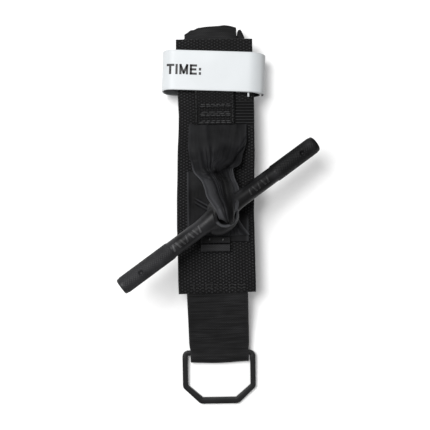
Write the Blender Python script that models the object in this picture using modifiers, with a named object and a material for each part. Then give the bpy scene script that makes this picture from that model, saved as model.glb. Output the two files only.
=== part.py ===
"""Folded windlass tourniquet: webbing base, gathered ribbon, windlass rod, lock ring and writing band.

The object lies on its back.  +Z is up, away from the table, +Y runs along the fold towards the
writing band, and the lock ring is at -Y.  The origin is on the table, in the middle of the outline.
"""
import math

import bmesh
import bpy
from mathutils import Matrix, Vector

MM = 0.001

# Base webbing
PANEL_X = -2.3 * MM
PANEL_WIDTH = 38.1 * MM
PANEL_LOW_Y = -37.3 * MM
PANEL_HIGH_Y = 88.0 * MM
PANEL_BOTTOM_Z = 14.5 * MM
PANEL_THICKNESS = 2.2 * MM
PANEL_TOP_Z = PANEL_BOTTOM_Z + PANEL_THICKNESS

# Main strap, folded to and fro under the base
STRAP_X = -2.1 * MM
STRAP_WIDTH = 30.5 * MM
STRAP_THICKNESS = 1.1 * MM
LAYER_PITCH = 1.45 * MM
LAYER_FIRST_Z = 1.8 * MM
FOLD_RADIUS = LAYER_PITCH / 2

# Three-bar slide that the main strap is threaded through
SLIDE_WIDTH = 37.4 * MM
SLIDE_THICKNESS = 1.6 * MM
SLIDE_Z = 9.25 * MM
SLIDE_BARS_Y = (15.0 * MM, 3.0 * MM, -14.0 * MM)
SLIDE_BAR = 3.0 * MM
SLIDE_RAIL = 2.75 * MM

# Ring strap and lock ring
RING_X = -1.6 * MM
RING_STRAP_X = -1.95 * MM
RING_YAW = math.radians(1.2)
RING_STRAP_THICKNESS = 1.0 * MM
RING_BAR_RADIUS = 1.4 * MM
RING_BAR_Y = -69.6 * MM
RING_BAR_Z = 2.8 * MM
RING_HALF_WIDTH = 17.2 * MM
RING_SHOULDER = 16.6 * MM
RING_FLAT_HALF = 9.0 * MM
RING_LENGTH = 24.2 * MM
RING_CORNER_RADIUS = 1.6 * MM
RING_SLOPE = math.asin((RING_BAR_Z - RING_BAR_RADIUS) / RING_LENGTH)
LIFT_Y = -39.0 * MM
LIFT_Z = 12.9 * MM

# Windlass rod
ROD_ANGLE = math.radians(35.84)
ROD_TILT = math.radians(6.0)
EYE_ROLL = math.radians(30.0)
ROD_MIDDLE = Vector((0.0, 1.4 * MM, 30.8 * MM))
ROD_HALF_LENGTH = 57.5 * MM
ROD_RADIUS = 4.15 * MM
SHAFT_RADIUS = 3.95 * MM
GRIP_START = 30.0 * MM
EYE_OFFSET = 1.5 * MM
EYE_HOLE_RADIUS = 4.7 * MM
EYE_OUTER_RADIUS = 6.2 * MM
EYE_HALF_HEIGHT = 5.4 * MM

# Ribbon through the eye
RIBBON_FLAT_X = -1.1 * MM
RIBBON_FLAT_WIDTH = 29.4 * MM
RIBBON_THICKNESS = 0.4 * MM

# Writing band
BAND_X = -2.3 * MM
BAND_Y = 70.7 * MM
BAND_YAW = math.radians(-2.4)
BAND_WIDTH = 19.4 * MM
BAND_THICKNESS = 0.8 * MM
BAND_HALF_SPAN = 24.5 * MM
BAND_END_DEPTH = 8.0 * MM
BAND_HALF_HEIGHT = 9.65 * MM
BAND_MIDDLE_Z = BAND_HALF_HEIGHT + BAND_THICKNESS / 2
BAND_LAP = 1.7 * MM
PATCH_THICKNESS = 0.25 * MM
PATCH_GAP = 0.12 * MM
FLAP_X = 13.5 * MM
FLAP_HINGE_GAP = 1.2 * MM
LAP_START_X = 11.3 * MM

THREAD_RADIUS = 0.22 * MM
GAP = 0.3 * MM


# ---------------------------------------------------------------- scene, materials, objects

def clear_scene():
    for obj in list(bpy.data.objects):
        bpy.data.objects.remove(obj, do_unlink=True)


def make_collection(name):
    collection = bpy.data.collections.new(name)
    bpy.context.scene.collection.children.link(collection)
    return collection


def make_material(name, colour, roughness, metallic=0.0):
    mat = bpy.data.materials.new(name)
    mat.use_nodes = True
    shader = mat.node_tree.nodes["Principled BSDF"]
    shader.inputs["Base Color"].default_value = (*colour, 1.0)
    shader.inputs["Roughness"].default_value = roughness
    shader.inputs["Metallic"].default_value = metallic
    mat.diffuse_color = (*colour, 1.0)
    return mat


def add_object(name, data, mat, collection, location=(0, 0, 0), rotation=(0, 0, 0)):
    obj = bpy.data.objects.new(name, data)
    obj.location = location
    obj.rotation_euler = rotation
    obj.data.materials.append(mat)
    collection.objects.link(obj)
    return obj


def add_bevel(obj, width, segments=3):
    bevel = obj.modifiers.new("rounded_edges", "BEVEL")
    bevel.width = width
    bevel.segments = segments
    bevel.limit_method = "ANGLE"
    return bevel


def hide_helper(obj):
    obj.hide_render = True
    obj.display_type = "WIRE"


# ---------------------------------------------------------------- outlines and paths

def arc(centre, radius, start_deg, end_deg, count=8):
    """Points on a circular arc in a plane, both ends included."""
    step = math.radians(end_deg - start_deg) / count
    first = math.radians(start_deg)
    return [
        (centre[0] + radius * math.cos(first + step * i), centre[1] + radius * math.sin(first + step * i))
        for i in range(count + 1)
    ]


def fillet(corners, radii, count=5):
    """A closed outline whose corners are rounded, each with its own radius."""
    outline = []
    for i, corner in enumerate(corners):
        here = Vector(corner)
        before = (Vector(corners[i - 1]) - here).normalized()
        after = (Vector(corners[(i + 1) % len(corners)]) - here).normalized()
        half = before.angle(after) / 2
        centre = here + (before + after).normalized() * (radii[i] / math.sin(half))
        reach = radii[i] / math.tan(half)
        first = (here + before * reach - centre).normalized()
        last = (here + after * reach - centre).normalized()
        for k in range(count + 1):
            outline.append(tuple(centre + first.slerp(last, k / count) * radii[i]))
    return outline


def smooth_route(points, per_span=5):
    """Catmull-Rom samples through the given points, in any number of dimensions."""
    through = [tuple(p) for p in points]
    through = [through[0]] + through + [through[-1]]
    out = []
    for i in range(1, len(through) - 2):
        a, b, c, d = through[i - 1], through[i], through[i + 1], through[i + 2]
        for k in range(per_span):
            t = k / per_span
            out.append(tuple(
                0.5 * (2 * q + (r - p) * t + (2 * p - 5 * q + 4 * r - s) * t * t
                       + (3 * q - p - 3 * r + s) * t ** 3)
                for p, q, r, s in zip(a, b, c, d)
            ))
    out.append(through[-2])
    return out


# ---------------------------------------------------------------- shape builders

def strip(name, path, width, thickness, mat, collection, origin, yaw=0.0, plane="YZ"):
    """Webbing: a path in the YZ or XZ plane, spread to a width and thickened."""
    mesh = bpy.data.meshes.new(name)
    bm = bmesh.new()
    pairs = []
    for u, v in path:
        pair = []
        for side in (-0.5, 0.5):
            place = (side * width, u, v) if plane == "YZ" else (u, side * width, v)
            pair.append(bm.verts.new(place))
        pairs.append(pair)
    for (a, b), (c, d) in zip(pairs, pairs[1:]):
        bm.faces.new((a, b, d, c))
    bm.to_mesh(mesh)
    bm.free()
    obj = add_object(name, mesh, mat, collection, origin, (0, 0, yaw))
    solid = obj.modifiers.new("thickness", "SOLIDIFY")
    solid.thickness = thickness
    solid.offset = 0.0
    solid.use_even_offset = True
    return obj


def slab(name, low, high, mat, collection, bevel=0.0):
    """A box between two corners, with rounded edges."""
    low, high = Vector(low), Vector(high)
    mesh = bpy.data.meshes.new(name)
    bm = bmesh.new()
    bmesh.ops.create_cube(bm, size=1.0)
    size = high - low
    bmesh.ops.scale(bm, vec=size, verts=bm.verts)
    bm.to_mesh(mesh)
    bm.free()
    obj = add_object(name, mesh, mat, collection, (low + high) / 2)
    if bevel:
        add_bevel(obj, bevel)
    return obj


def tube(name, points, radius, mat, collection, origin=(0, 0, 0), rotation=(0, 0, 0), cyclic=False, sides=2):
    """A round bar or thread along a POLY spline."""
    curve = bpy.data.curves.new(name, "CURVE")
    curve.dimensions = "3D"
    spline = curve.splines.new("POLY")
    spline.points.add(len(points) - 1)
    for point, place in zip(spline.points, points):
        point.co = (*place, 1.0)
    spline.use_cyclic_u = cyclic
    curve.bevel_depth = radius
    curve.bevel_resolution = sides
    curve.use_fill_caps = not cyclic
    return add_object(name, curve, mat, collection, origin, rotation)


def loft(name, stations, mat, collection, count=16):
    """A soft bundle: (x, y, z, width, thickness) stations joined by rounded sections."""
    mesh = bpy.data.meshes.new(name)
    bm = bmesh.new()
    centres = [Vector(s[:3]) for s in stations]
    rings = []
    for i, station in enumerate(stations):
        ahead = centres[min(i + 1, len(centres) - 1)]
        behind = centres[max(i - 1, 0)]
        tangent = (ahead - behind).normalized()
        across = (Vector((1, 0, 0)) - tangent * tangent.x).normalized()
        normal = across.cross(tangent)
        ring = []
        for k in range(count):
            turn = 2 * math.pi * k / count
            side = math.copysign(abs(math.cos(turn)) ** 0.6, math.cos(turn)) * station[3] / 2
            rise = math.copysign(abs(math.sin(turn)) ** 0.6, math.sin(turn)) * station[4] / 2
            ring.append(bm.verts.new(centres[i] + across * side + normal * rise))
        rings.append(ring)
    for ring, following in zip(rings, rings[1:]):
        for k in range(count):
            j = (k + 1) % count
            bm.faces.new((ring[k], ring[j], following[j], following[k]))
    bm.faces.new(list(reversed(rings[0])))
    bm.faces.new(rings[-1])
    bmesh.ops.recalc_face_normals(bm, faces=bm.faces)
    bm.to_mesh(mesh)
    bm.free()
    return add_object(name, mesh, mat, collection)


def stitch_rows(name, centre_x, span, rows_y, z, mat, collection):
    """One thread that runs to and fro in level rows."""
    points = []
    for i, y in enumerate(rows_y):
        ends = (centre_x - span / 2, centre_x + span / 2)
        if i % 2:
            ends = ends[::-1]
        points += [(ends[0], y, z), (ends[1], y, z)]
    return tube(name, points, THREAD_RADIUS, mat, collection, sides=1)


def spaced(first, last, count):
    return [first + (last - first) * i / (count - 1) for i in range(count)]


def cut(target, operation, other, name):
    modifier = target.modifiers.new(name, "BOOLEAN")
    modifier.operation = operation
    modifier.object = other
    modifier.solver = "EXACT"


# ---------------------------------------------------------------- the main strap and its slide

def layer_z(index):
    return LAYER_FIRST_Z + LAYER_PITCH * index


def fold(y, upper, towards):
    """A half turn from layer `upper` down to the one below, bulging towards +Y or -Y."""
    middle = (y, layer_z(upper) - FOLD_RADIUS)
    if towards > 0:
        return arc(middle, FOLD_RADIUS, 90, -90)
    return arc(middle, FOLD_RADIUS, 90, 270)


def main_strap_path():
    near, far = 27.0 * MM, 93.3 * MM
    path = [(85.5 * MM, layer_z(8))]
    path += fold(near, 8, -1)
    path += fold(94.0 * MM, 7, 1)
    path += fold(near + 1.0 * MM, 6, -1)
    path += fold(far, 5, 1)
    path += slide_wrap()
    path += fold(93.7 * MM, 3, 1)
    path += fold(-35.0 * MM, 2, -1)
    path += fold(92.6 * MM, 1, 1)
    path.append((-33.0 * MM, layer_z(0)))
    return path


def slide_wrap():
    """From layer 4 up through the slide, over its middle bar and back on layer 3."""
    over_bar = SLIDE_Z + SLIDE_THICKNESS / 2 + GAP + STRAP_THICKNESS / 2
    back_y = SLIDE_BARS_Y[1] - 2.5 * MM
    rise = smooth_route([
        (SLIDE_BARS_Y[0], layer_z(4)),
        (SLIDE_BARS_Y[0] - 3.4 * MM, layer_z(4) + 0.15 * MM),
        (SLIDE_BARS_Y[1] + 5.8 * MM, (layer_z(4) + over_bar) / 2),
        (SLIDE_BARS_Y[1] + 2.6 * MM, over_bar - 0.1 * MM),
        (SLIDE_BARS_Y[1], over_bar),
    ], 4)
    radius = (over_bar - layer_z(3)) / 2
    return rise + arc((back_y, layer_z(3) + radius), radius, 90, 270, 14)


def add_main_strap(mats, parts):
    path = main_strap_path()
    strip("main_strap", path, STRAP_WIDTH, STRAP_THICKNESS, mats["strap"], parts, (STRAP_X, 0, 0))


def add_slide_buckle(mats, parts, cutters):
    low_y = SLIDE_BARS_Y[2] - SLIDE_BAR / 2
    high_y = SLIDE_BARS_Y[0] + SLIDE_BAR / 2
    half = Vector((SLIDE_WIDTH / 2, 0, SLIDE_THICKNESS / 2))
    middle = Vector((STRAP_X, 0, SLIDE_Z))
    frame = slab("slide_buckle", middle - half + Vector((0, low_y, 0)),
                 middle + half + Vector((0, high_y, 0)), mats["metal"], parts, 0.0)
    for i, (upper, lower) in enumerate(zip(SLIDE_BARS_Y, SLIDE_BARS_Y[1:])):
        reach = Vector((SLIDE_WIDTH / 2 - SLIDE_RAIL, 0, SLIDE_THICKNESS))
        slot = slab(f"slide_slot_{i}", middle - reach + Vector((0, lower + SLIDE_BAR / 2, 0)),
                    middle + reach + Vector((0, upper - SLIDE_BAR / 2, 0)), mats["metal"], cutters)
        hide_helper(slot)
        cut(frame, "DIFFERENCE", slot, f"slot_{i}")
    add_bevel(frame, 0.35 * MM, 2)


def add_buckle_strap(mats, parts):
    bar_y = SLIDE_BARS_Y[2]
    above = SLIDE_Z + SLIDE_THICKNESS / 2 + 0.85 * MM
    below = SLIDE_Z - SLIDE_THICKNESS / 2 - 0.85 * MM
    under_panel = PANEL_BOTTOM_Z - 0.9 * MM
    turn = (under_panel - above) / 2
    tail = smooth_route([
        (bar_y - 7.6 * MM, below + 1.4 * MM),
        (bar_y - 4.5 * MM, below + 0.6 * MM),
        (bar_y - 1.8 * MM, below),
        (bar_y + 1.0 * MM, below),
    ], 4)
    path = tail + arc((bar_y + 1.7 * MM, SLIDE_Z), (above - below) / 2, -90, 90, 10)
    path += arc((bar_y - 7.0 * MM, above + turn), turn, 270, 90, 10)
    path.append((20.0 * MM, under_panel))
    strip("buckle_strap", path, STRAP_WIDTH - 2 * MM, 1.0 * MM, mats["strap"], parts, (STRAP_X, 0, 0))
    stitch_rows("buckle_strap_stitch", STRAP_X, 20 * MM, spaced(bar_y - 9.4 * MM, bar_y - 11.0 * MM, 2),
                below + 0.4 * MM, mats["thread"], parts)


# ---------------------------------------------------------------- base, anchors and ribbon

def add_base(mats, parts):
    half = PANEL_WIDTH / 2
    slab("base_webbing", (PANEL_X - half, PANEL_LOW_Y, PANEL_BOTTOM_Z),
         (PANEL_X + half, PANEL_HIGH_Y, PANEL_TOP_Z), mats["webbing"], parts, 0.7 * MM)
    slab("upper_anchor", (-11.4 * MM, 45.3 * MM, PANEL_TOP_Z + 0.9 * MM),
         (7.5 * MM, 77.0 * MM, PANEL_TOP_Z + 2.3 * MM), mats["webbing"], parts, 0.35 * MM)
    stitch_rows("upper_anchor_stitch", -2.0 * MM, 15.5 * MM, spaced(46.6 * MM, 55.0 * MM, 7),
                PANEL_TOP_Z + 2.6 * MM, mats["thread"], parts)
    slab("lower_anchor", (-9.7 * MM, -17.0 * MM, PANEL_TOP_Z + 1.65 * MM),
         (4.7 * MM, -9.9 * MM, PANEL_TOP_Z + 2.65 * MM), mats["webbing"], parts, 0.3 * MM)
    stitch_rows("lower_anchor_stitch", -2.5 * MM, 11.5 * MM, spaced(-15.8 * MM, -11.1 * MM, 4),
                PANEL_TOP_Z + 2.95 * MM, mats["thread"], parts)


def add_ribbon(mats, parts):
    half = RIBBON_FLAT_WIDTH / 2
    flat_z = PANEL_TOP_Z + 0.25 * MM
    slab("ribbon_flat_run", (RIBBON_FLAT_X - half, -17.2 * MM, flat_z),
         (RIBBON_FLAT_X + half, 39.0 * MM, flat_z + RIBBON_THICKNESS), mats["ribbon"], parts)

    mouth, hole = eye_mouth(1), eye_axis()
    crest = eye_place(0.0, EYE_OUTER_RADIUS - 0.8 * MM, EYE_HALF_HEIGHT + 1.6 * MM)
    upper = [
        (-2.0, 53.0, 17.2, 18.0, 0.5),
        (-1.7, 46.5, 17.2, 21.0, 0.5),
        (-0.4, 41.5, 18.0, 26.5, 0.6),
        (-0.2, 34.0, 19.2, 28.4, 0.8),
        (-0.2, 27.0, 22.0, 25.0, 1.2),
        (0.0, 20.0, 27.2, 18.5, 1.5),
        (0.5, 14.0, 32.6, 15.5, 1.8),
        (0.6, 9.0, 37.2, 13.0, 1.8),
    ]
    stations = [tuple(value * MM for value in row) for row in upper]
    stations.append((*crest, 10.5 * MM, 1.6 * MM))
    stations.append((*(mouth + hole * 2.2 * MM), 8.0 * MM, 2.4 * MM))
    stations.append((*(mouth + hole * 0.4 * MM), 7.0 * MM, 3.6 * MM))
    loft("ribbon_upper_run", smooth_route(stations, 3), mats["ribbon"], parts)

    exit_mouth = eye_mouth(-1)
    lower = [
        (0.4, -1.5, 20.6, 12.5, 1.8),
        (0.6, -5.0, 19.4, 18.0, 1.0),
        (0.5, -8.3, 18.35, 25.0, 0.5),
        (0.4, -11.0, 17.9, 28.2, 0.4),
        (0.4, -17.0, 17.9, 28.4, 0.4),
    ]
    stations = [
        (*(exit_mouth - hole * 0.4 * MM), 6.6 * MM, 3.8 * MM),
        (*(exit_mouth - hole * 2.0 * MM + Vector((0.4, -0.2, 0)) * MM), 7.6 * MM, 3.2 * MM),
        (-0.6 * MM, 2.2 * MM, 22.2 * MM, 9.0 * MM, 2.4 * MM),
    ]
    stations += [tuple(value * MM for value in row) for row in lower]
    loft("ribbon_lower_run", smooth_route(stations, 3), mats["ribbon"], parts)


# ---------------------------------------------------------------- windlass

def eye_matrix():
    """The eye's frame: X along the rod to its lower end, Z along the hole of the eye."""
    turn = Matrix.Rotation(ROD_ANGLE, 4, "Z")
    tilt = Matrix.Rotation(ROD_TILT, 4, "Y")
    roll = Matrix.Rotation(EYE_ROLL, 4, "X")
    return Matrix.Translation(ROD_MIDDLE) @ turn @ tilt @ roll @ Matrix.Translation((EYE_OFFSET, 0, 0))


def eye_place(along, across, height):
    return eye_matrix() @ Vector((along, across, height))


def eye_axis():
    return (eye_matrix().to_3x3() @ Vector((0, 0, 1))).normalized()


def eye_mouth(side):
    return eye_place(0.0, 0.0, side * EYE_HALF_HEIGHT)


def rod_sections():
    """Half length stations: (distance from the middle, half width, half height)."""
    flare = []
    flare_end = 13.0 * MM
    for i in range(9):
        share = i / 8
        swell = 0.5 + 0.5 * math.cos(math.pi * share)
        flare.append((flare_end * share, SHAFT_RADIUS + 1.5 * MM * swell, SHAFT_RADIUS + 0.25 * MM * swell))
    grip = [
        (GRIP_START - 0.5 * MM, SHAFT_RADIUS, SHAFT_RADIUS),
        (GRIP_START, ROD_RADIUS, ROD_RADIUS),
        (ROD_HALF_LENGTH - 0.7 * MM, ROD_RADIUS, ROD_RADIUS),
        (ROD_HALF_LENGTH - 0.2 * MM, ROD_RADIUS - 0.2 * MM, ROD_RADIUS - 0.2 * MM),
        (ROD_HALF_LENGTH, ROD_RADIUS - 0.7 * MM, ROD_RADIUS - 0.7 * MM),
    ]
    half = flare + grip
    mirrored = [(-x, w, h) for x, w, h in reversed(half[1:])]
    return mirrored + half


def eye_ring_profile():
    """Rounded wall of the eye, as (radius, height) points that close on themselves."""
    wall = EYE_OUTER_RADIUS - EYE_HOLE_RADIUS
    lip = wall / 2
    middle = (EYE_OUTER_RADIUS + EYE_HOLE_RADIUS) / 2
    top = EYE_HALF_HEIGHT - lip
    return arc((middle, top), lip, 0, 180, 8) + arc((middle, -top), lip, 180, 360, 8)


def add_windlass(mats, parts, cutters):
    count = 28
    step = 2 * math.pi / count
    mesh = bpy.data.meshes.new("windlass")
    bm = bmesh.new()
    rings = []
    for x, wide, high in rod_sections():
        rings.append([
            bm.verts.new((x - EYE_OFFSET, wide * math.cos(step * k), high * math.sin(step * k)))
            for k in range(count)
        ])
    for ring, following in zip(rings, rings[1:]):
        for k in range(count):
            j = (k + 1) % count
            bm.faces.new((ring[k], ring[j], following[j], following[k]))
    bm.faces.new(list(reversed(rings[0])))
    bm.faces.new(rings[-1])
    bmesh.ops.recalc_face_normals(bm, faces=bm.faces)
    bm.to_mesh(mesh)
    bm.free()
    rod = add_object("windlass", mesh, mats["rod"], parts)
    rod.matrix_world = eye_matrix()

    bore = round_cutter("eye_bore", (EYE_OUTER_RADIUS + EYE_HOLE_RADIUS) / 2, mats, cutters)
    wall = lathe_ring("eye_wall", eye_ring_profile(), mats, cutters)
    for helper in (bore, wall):
        helper.matrix_world = eye_matrix()
    cut(rod, "DIFFERENCE", bore, "bore")
    cut(rod, "UNION", wall, "eye_wall")
    return rod


def round_cutter(name, radius, mats, cutters):
    mesh = bpy.data.meshes.new(name)
    bm = bmesh.new()
    bmesh.ops.create_cone(bm, cap_ends=True, segments=40, radius1=radius, radius2=radius, depth=24 * MM)
    bm.to_mesh(mesh)
    bm.free()
    obj = add_object(name, mesh, mats["rod"], cutters)
    hide_helper(obj)
    return obj


def lathe_ring(name, profile, mats, cutters, count=40):
    """A ring turned about Z from a closed profile."""
    mesh = bpy.data.meshes.new(name)
    bm = bmesh.new()
    columns = []
    for k in range(count):
        turn = 2 * math.pi * k / count
        columns.append([bm.verts.new((r * math.cos(turn), r * math.sin(turn), z)) for r, z in profile])
    for k in range(count):
        here, beside = columns[k], columns[(k + 1) % count]
        for i in range(len(profile)):
            j = (i + 1) % len(profile)
            bm.faces.new((here[i], beside[i], beside[j], here[j]))
    bmesh.ops.recalc_face_normals(bm, faces=bm.faces)
    bm.to_mesh(mesh)
    bm.free()
    obj = add_object(name, mesh, mats["rod"], cutters)
    hide_helper(obj)
    return obj


def add_throat(mats, parts):
    """The bunched ribbon inside the eye."""
    mesh = bpy.data.meshes.new("ribbon_throat")
    bm = bmesh.new()
    bmesh.ops.create_cone(bm, cap_ends=True, segments=24, radius1=EYE_HOLE_RADIUS - 0.9 * MM,
                          radius2=EYE_HOLE_RADIUS - 0.9 * MM, depth=2 * EYE_HALF_HEIGHT - 1.0 * MM)
    bm.to_mesh(mesh)
    bm.free()
    throat = add_object("ribbon_throat", mesh, mats["ribbon"], parts)
    throat.matrix_world = eye_matrix()


# ---------------------------------------------------------------- ring strap and ring

def ring_strap_paths():
    """The sewn ends under the base, and the free loop round the ring's bar, from its lift axis."""
    upper, lower = 0.6 * MM, -0.6 * MM
    sewn_end, sewn_start = -24.3 * MM - LIFT_Y, 0.4 * MM
    sewn = [(sewn_end, upper + 0.15 * MM), (sewn_start, upper + 0.15 * MM)]
    loop_y = RING_BAR_Y - 2.1 * MM - LIFT_Y
    loop_z = RING_BAR_Z - LIFT_Z
    radius = RING_BAR_RADIUS + 0.4 * MM + RING_STRAP_THICKNESS / 2
    loop_radius = RING_BAR_Z - RING_STRAP_THICKNESS / 2
    down = [
        (-1.9 * MM, upper - 0.6 * MM),
        (-12.0 * MM, upper - 4.1 * MM),
        (-22.0 * MM, upper - 7.3 * MM),
        (RING_BAR_Y - LIFT_Y + 1.5 * MM, loop_z + radius),
        (loop_y, loop_z + loop_radius),
    ]
    back = [
        (loop_y, loop_z - loop_radius),
        (RING_BAR_Y - LIFT_Y + 1.5 * MM, loop_z - radius),
        (-22.5 * MM, lower - 7.5 * MM),
        (-12.4 * MM, lower - 4.3 * MM),
        (-2.3 * MM, lower - 0.7 * MM),
    ]
    turn = arc((loop_y, loop_z), loop_radius, 90, 270, 10)
    free = smooth_route(down, 5) + turn[1:-1] + smooth_route(back, 5)
    return sewn, free


def add_ring_strap(mats, parts):
    sewn, free = ring_strap_paths()
    origin = (RING_STRAP_X, LIFT_Y, LIFT_Z)
    for level, name in ((0.0, "ring_strap_sewn_top"), (-1.3 * MM, "ring_strap_sewn_under")):
        path = [(y, z + level) for y, z in sewn]
        strip(name, path, STRAP_WIDTH, RING_STRAP_THICKNESS, mats["strap"], parts, origin, RING_YAW)
    strip("ring_strap", free, STRAP_WIDTH, RING_STRAP_THICKNESS, mats["strap"], parts, origin, RING_YAW)
    stitch_rows("ring_strap_stitch", RING_X, 24 * MM, spaced(-26.5 * MM, -34.5 * MM, 5),
                LIFT_Z - 1.3 * MM - 0.55 * MM, mats["thread"], parts)


def add_ring(mats, parts):
    corners = [
        (-RING_HALF_WIDTH, 0.0),
        (-RING_HALF_WIDTH, -RING_SHOULDER),
        (-RING_FLAT_HALF, -RING_LENGTH),
        (RING_FLAT_HALF, -RING_LENGTH),
        (RING_HALF_WIDTH, -RING_SHOULDER),
        (RING_HALF_WIDTH, 0.0),
    ]
    outline = fillet(corners, [RING_CORNER_RADIUS] * len(corners))
    points = [(x, y, 0.0) for x, y in outline]
    tube("lock_ring", points, RING_BAR_RADIUS, mats["ring"], parts, (RING_X, RING_BAR_Y, RING_BAR_Z),
         (RING_SLOPE, 0, RING_YAW), cyclic=True)


# ---------------------------------------------------------------- writing band

def band_point(share, inset=0.0):
    """A point of the band's right half: 0 at the top of the end curve, 1 at its bottom."""
    turn = math.pi * (0.5 - share)
    flat = BAND_HALF_SPAN - BAND_END_DEPTH
    wide = BAND_END_DEPTH - inset
    high = BAND_HALF_HEIGHT - inset
    return (flat + wide * math.cos(turn), BAND_MIDDLE_Z + high * math.sin(turn))


def band_paths():
    """The band itself, its flap, and the two fastener patches between them."""
    top = BAND_MIDDLE_Z + BAND_HALF_HEIGHT
    flat = BAND_HALF_SPAN - BAND_END_DEPTH
    steps = 14
    inner_end = [(LAP_START_X, top - BAND_LAP)]
    inner_side = [band_point(i / steps, BAND_LAP) for i in range(11)]
    foot = (flat - 4.0 * MM, BAND_THICKNESS / 2)
    join = smooth_route([inner_side[-1], band_point(0.86, BAND_LAP / 2), band_point(0.97), foot], 4)
    left = [(-x, z) for x, z in reversed([band_point(i / steps) for i in range(steps + 1)])]
    band = inner_end + inner_side[:-1] + join + left + [(FLAP_X, top)]
    flap_x = FLAP_X + FLAP_HINGE_GAP
    hook_inset = (BAND_THICKNESS + PATCH_THICKNESS) / 2 + PATCH_GAP
    loop_inset = BAND_LAP - hook_inset
    flap = [(flap_x, top)] + [band_point(i / steps) for i in range(10)]
    hook = [(flap_x + 0.6 * MM, top - hook_inset)]
    hook += [band_point(i / steps, hook_inset) for i in range(9)]
    loop = [(LAP_START_X + 0.3 * MM, top - loop_inset)]
    loop += [band_point(i / steps, loop_inset) for i in range(9)]
    return band, flap, hook, loop


def add_band(mats, parts):
    """The fixed tape and loop patch, and the flap with its hook patch, placed by the flap's peel axis."""
    band, flap, hook, loop = band_paths()
    middle = Matrix.Translation((BAND_X, BAND_Y, 0)) @ Matrix.Rotation(BAND_YAW, 4, "Z")
    peel = (FLAP_X + FLAP_HINGE_GAP / 2, BAND_MIDDLE_Z + BAND_HALF_HEIGHT)
    patch_width = BAND_WIDTH - 2 * MM
    for name, path, width, thickness, pivot in (
        ("writing_band", band, BAND_WIDTH, BAND_THICKNESS, (0, 0)),
        ("band_loop_patch", loop, patch_width, PATCH_THICKNESS, (0, 0)),
        ("band_flap", flap, BAND_WIDTH, BAND_THICKNESS, peel),
        ("band_hook_patch", hook, patch_width, PATCH_THICKNESS, peel),
    ):
        local = [(x - pivot[0], z - pivot[1]) for x, z in path]
        origin = middle @ Vector((pivot[0], 0, pivot[1]))
        strip(name, local, width, thickness, mats["band"], parts, origin, BAND_YAW, "XZ")


# ---------------------------------------------------------------- build

def build():
    clear_scene()
    parts = make_collection("windlass_tourniquet")
    cutters = make_collection("cutters")
    mats = {
        "webbing": make_material("webbing", (0.014, 0.014, 0.016), 0.85),
        "strap": make_material("strap", (0.016, 0.016, 0.017), 0.75),
        "ribbon": make_material("ribbon", (0.026, 0.026, 0.029), 0.5),
        "thread": make_material("thread", (0.02, 0.02, 0.022), 0.7),
        "rod": make_material("rod", (0.05, 0.05, 0.055), 0.35, 0.6),
        "ring": make_material("ring", (0.022, 0.022, 0.024), 0.5),
        "metal": make_material("metal", (0.06, 0.06, 0.065), 0.4, 0.9),
        "band": make_material("band", (0.85, 0.88, 0.9), 0.6),
    }
    add_main_strap(mats, parts)
    add_slide_buckle(mats, parts, cutters)
    add_buckle_strap(mats, parts)
    add_base(mats, parts)
    add_ribbon(mats, parts)
    add_windlass(mats, parts, cutters)
    add_throat(mats, parts)
    add_ring_strap(mats, parts)
    add_ring(mats, parts)
    add_band(mats, parts)


build()
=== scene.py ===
"""Folded windlass tourniquet, seen from above on a plain pale floor.

Shapes are worked out in millimetres and turned into metres when a mesh is made.
"""
import math

import bpy
import numpy as np
from mathutils import Matrix, Vector, noise


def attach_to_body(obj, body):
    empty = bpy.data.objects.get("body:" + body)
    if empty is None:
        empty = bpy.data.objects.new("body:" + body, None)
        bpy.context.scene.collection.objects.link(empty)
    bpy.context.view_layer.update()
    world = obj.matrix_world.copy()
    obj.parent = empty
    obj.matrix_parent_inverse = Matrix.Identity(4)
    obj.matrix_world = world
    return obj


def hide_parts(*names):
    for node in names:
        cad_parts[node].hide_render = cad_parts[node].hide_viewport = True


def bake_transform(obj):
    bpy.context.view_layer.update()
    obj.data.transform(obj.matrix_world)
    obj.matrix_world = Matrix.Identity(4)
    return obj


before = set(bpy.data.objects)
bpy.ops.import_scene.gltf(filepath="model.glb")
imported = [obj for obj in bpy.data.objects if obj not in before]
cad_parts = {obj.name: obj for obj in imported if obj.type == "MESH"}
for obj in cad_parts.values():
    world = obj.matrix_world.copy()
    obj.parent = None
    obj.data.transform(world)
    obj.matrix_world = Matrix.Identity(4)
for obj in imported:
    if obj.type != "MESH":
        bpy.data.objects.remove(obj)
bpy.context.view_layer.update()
MM = 0.001


# ---------------------------------------------------------------- camera, light and floor

def make_camera():
    camera = bpy.data.cameras.new("camera")
    camera.sensor_width = 36.0
    camera.lens = 64.97
    camera.clip_start = 0.01
    holder = bpy.data.objects.new("camera", camera)
    holder.location = (-2.55 * MM, 0.83 * MM, 400.0 * MM)
    holder.rotation_euler = (0, 0, math.radians(-0.7))
    bpy.context.scene.collection.objects.link(holder)
    bpy.context.scene.camera = holder


def area_light(name, place, target, size, power):
    light = bpy.data.lights.new(name, "AREA")
    light.shape = "RECTANGLE"
    light.size, light.size_y = size
    light.energy = power
    holder = bpy.data.objects.new(name, light)
    holder.location = place
    aim = Vector(target) - Vector(place)
    holder.rotation_euler = aim.to_track_quat("-Z", "Y").to_euler()
    bpy.context.scene.collection.objects.link(holder)


def make_studio():
    world = bpy.data.worlds.new("studio")
    world.use_nodes = True
    sky = world.node_tree.nodes["Background"]
    sky.inputs["Color"].default_value = (1.0, 1.0, 1.0, 1.0)
    sky.inputs["Strength"].default_value = 0.3
    bpy.context.scene.world = world
    area_light("key", (-0.23, 0.17, 0.7), (0, 0, 0), (0.34, 0.34), 6.0)
    area_light("fill", (0.35, -0.3, 0.7), (0, 0, 0), (0.6, 0.6), 0.6)
    bpy.context.scene.view_settings.view_transform = "Standard"
    bpy.context.scene.view_settings.look = "None"


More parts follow.
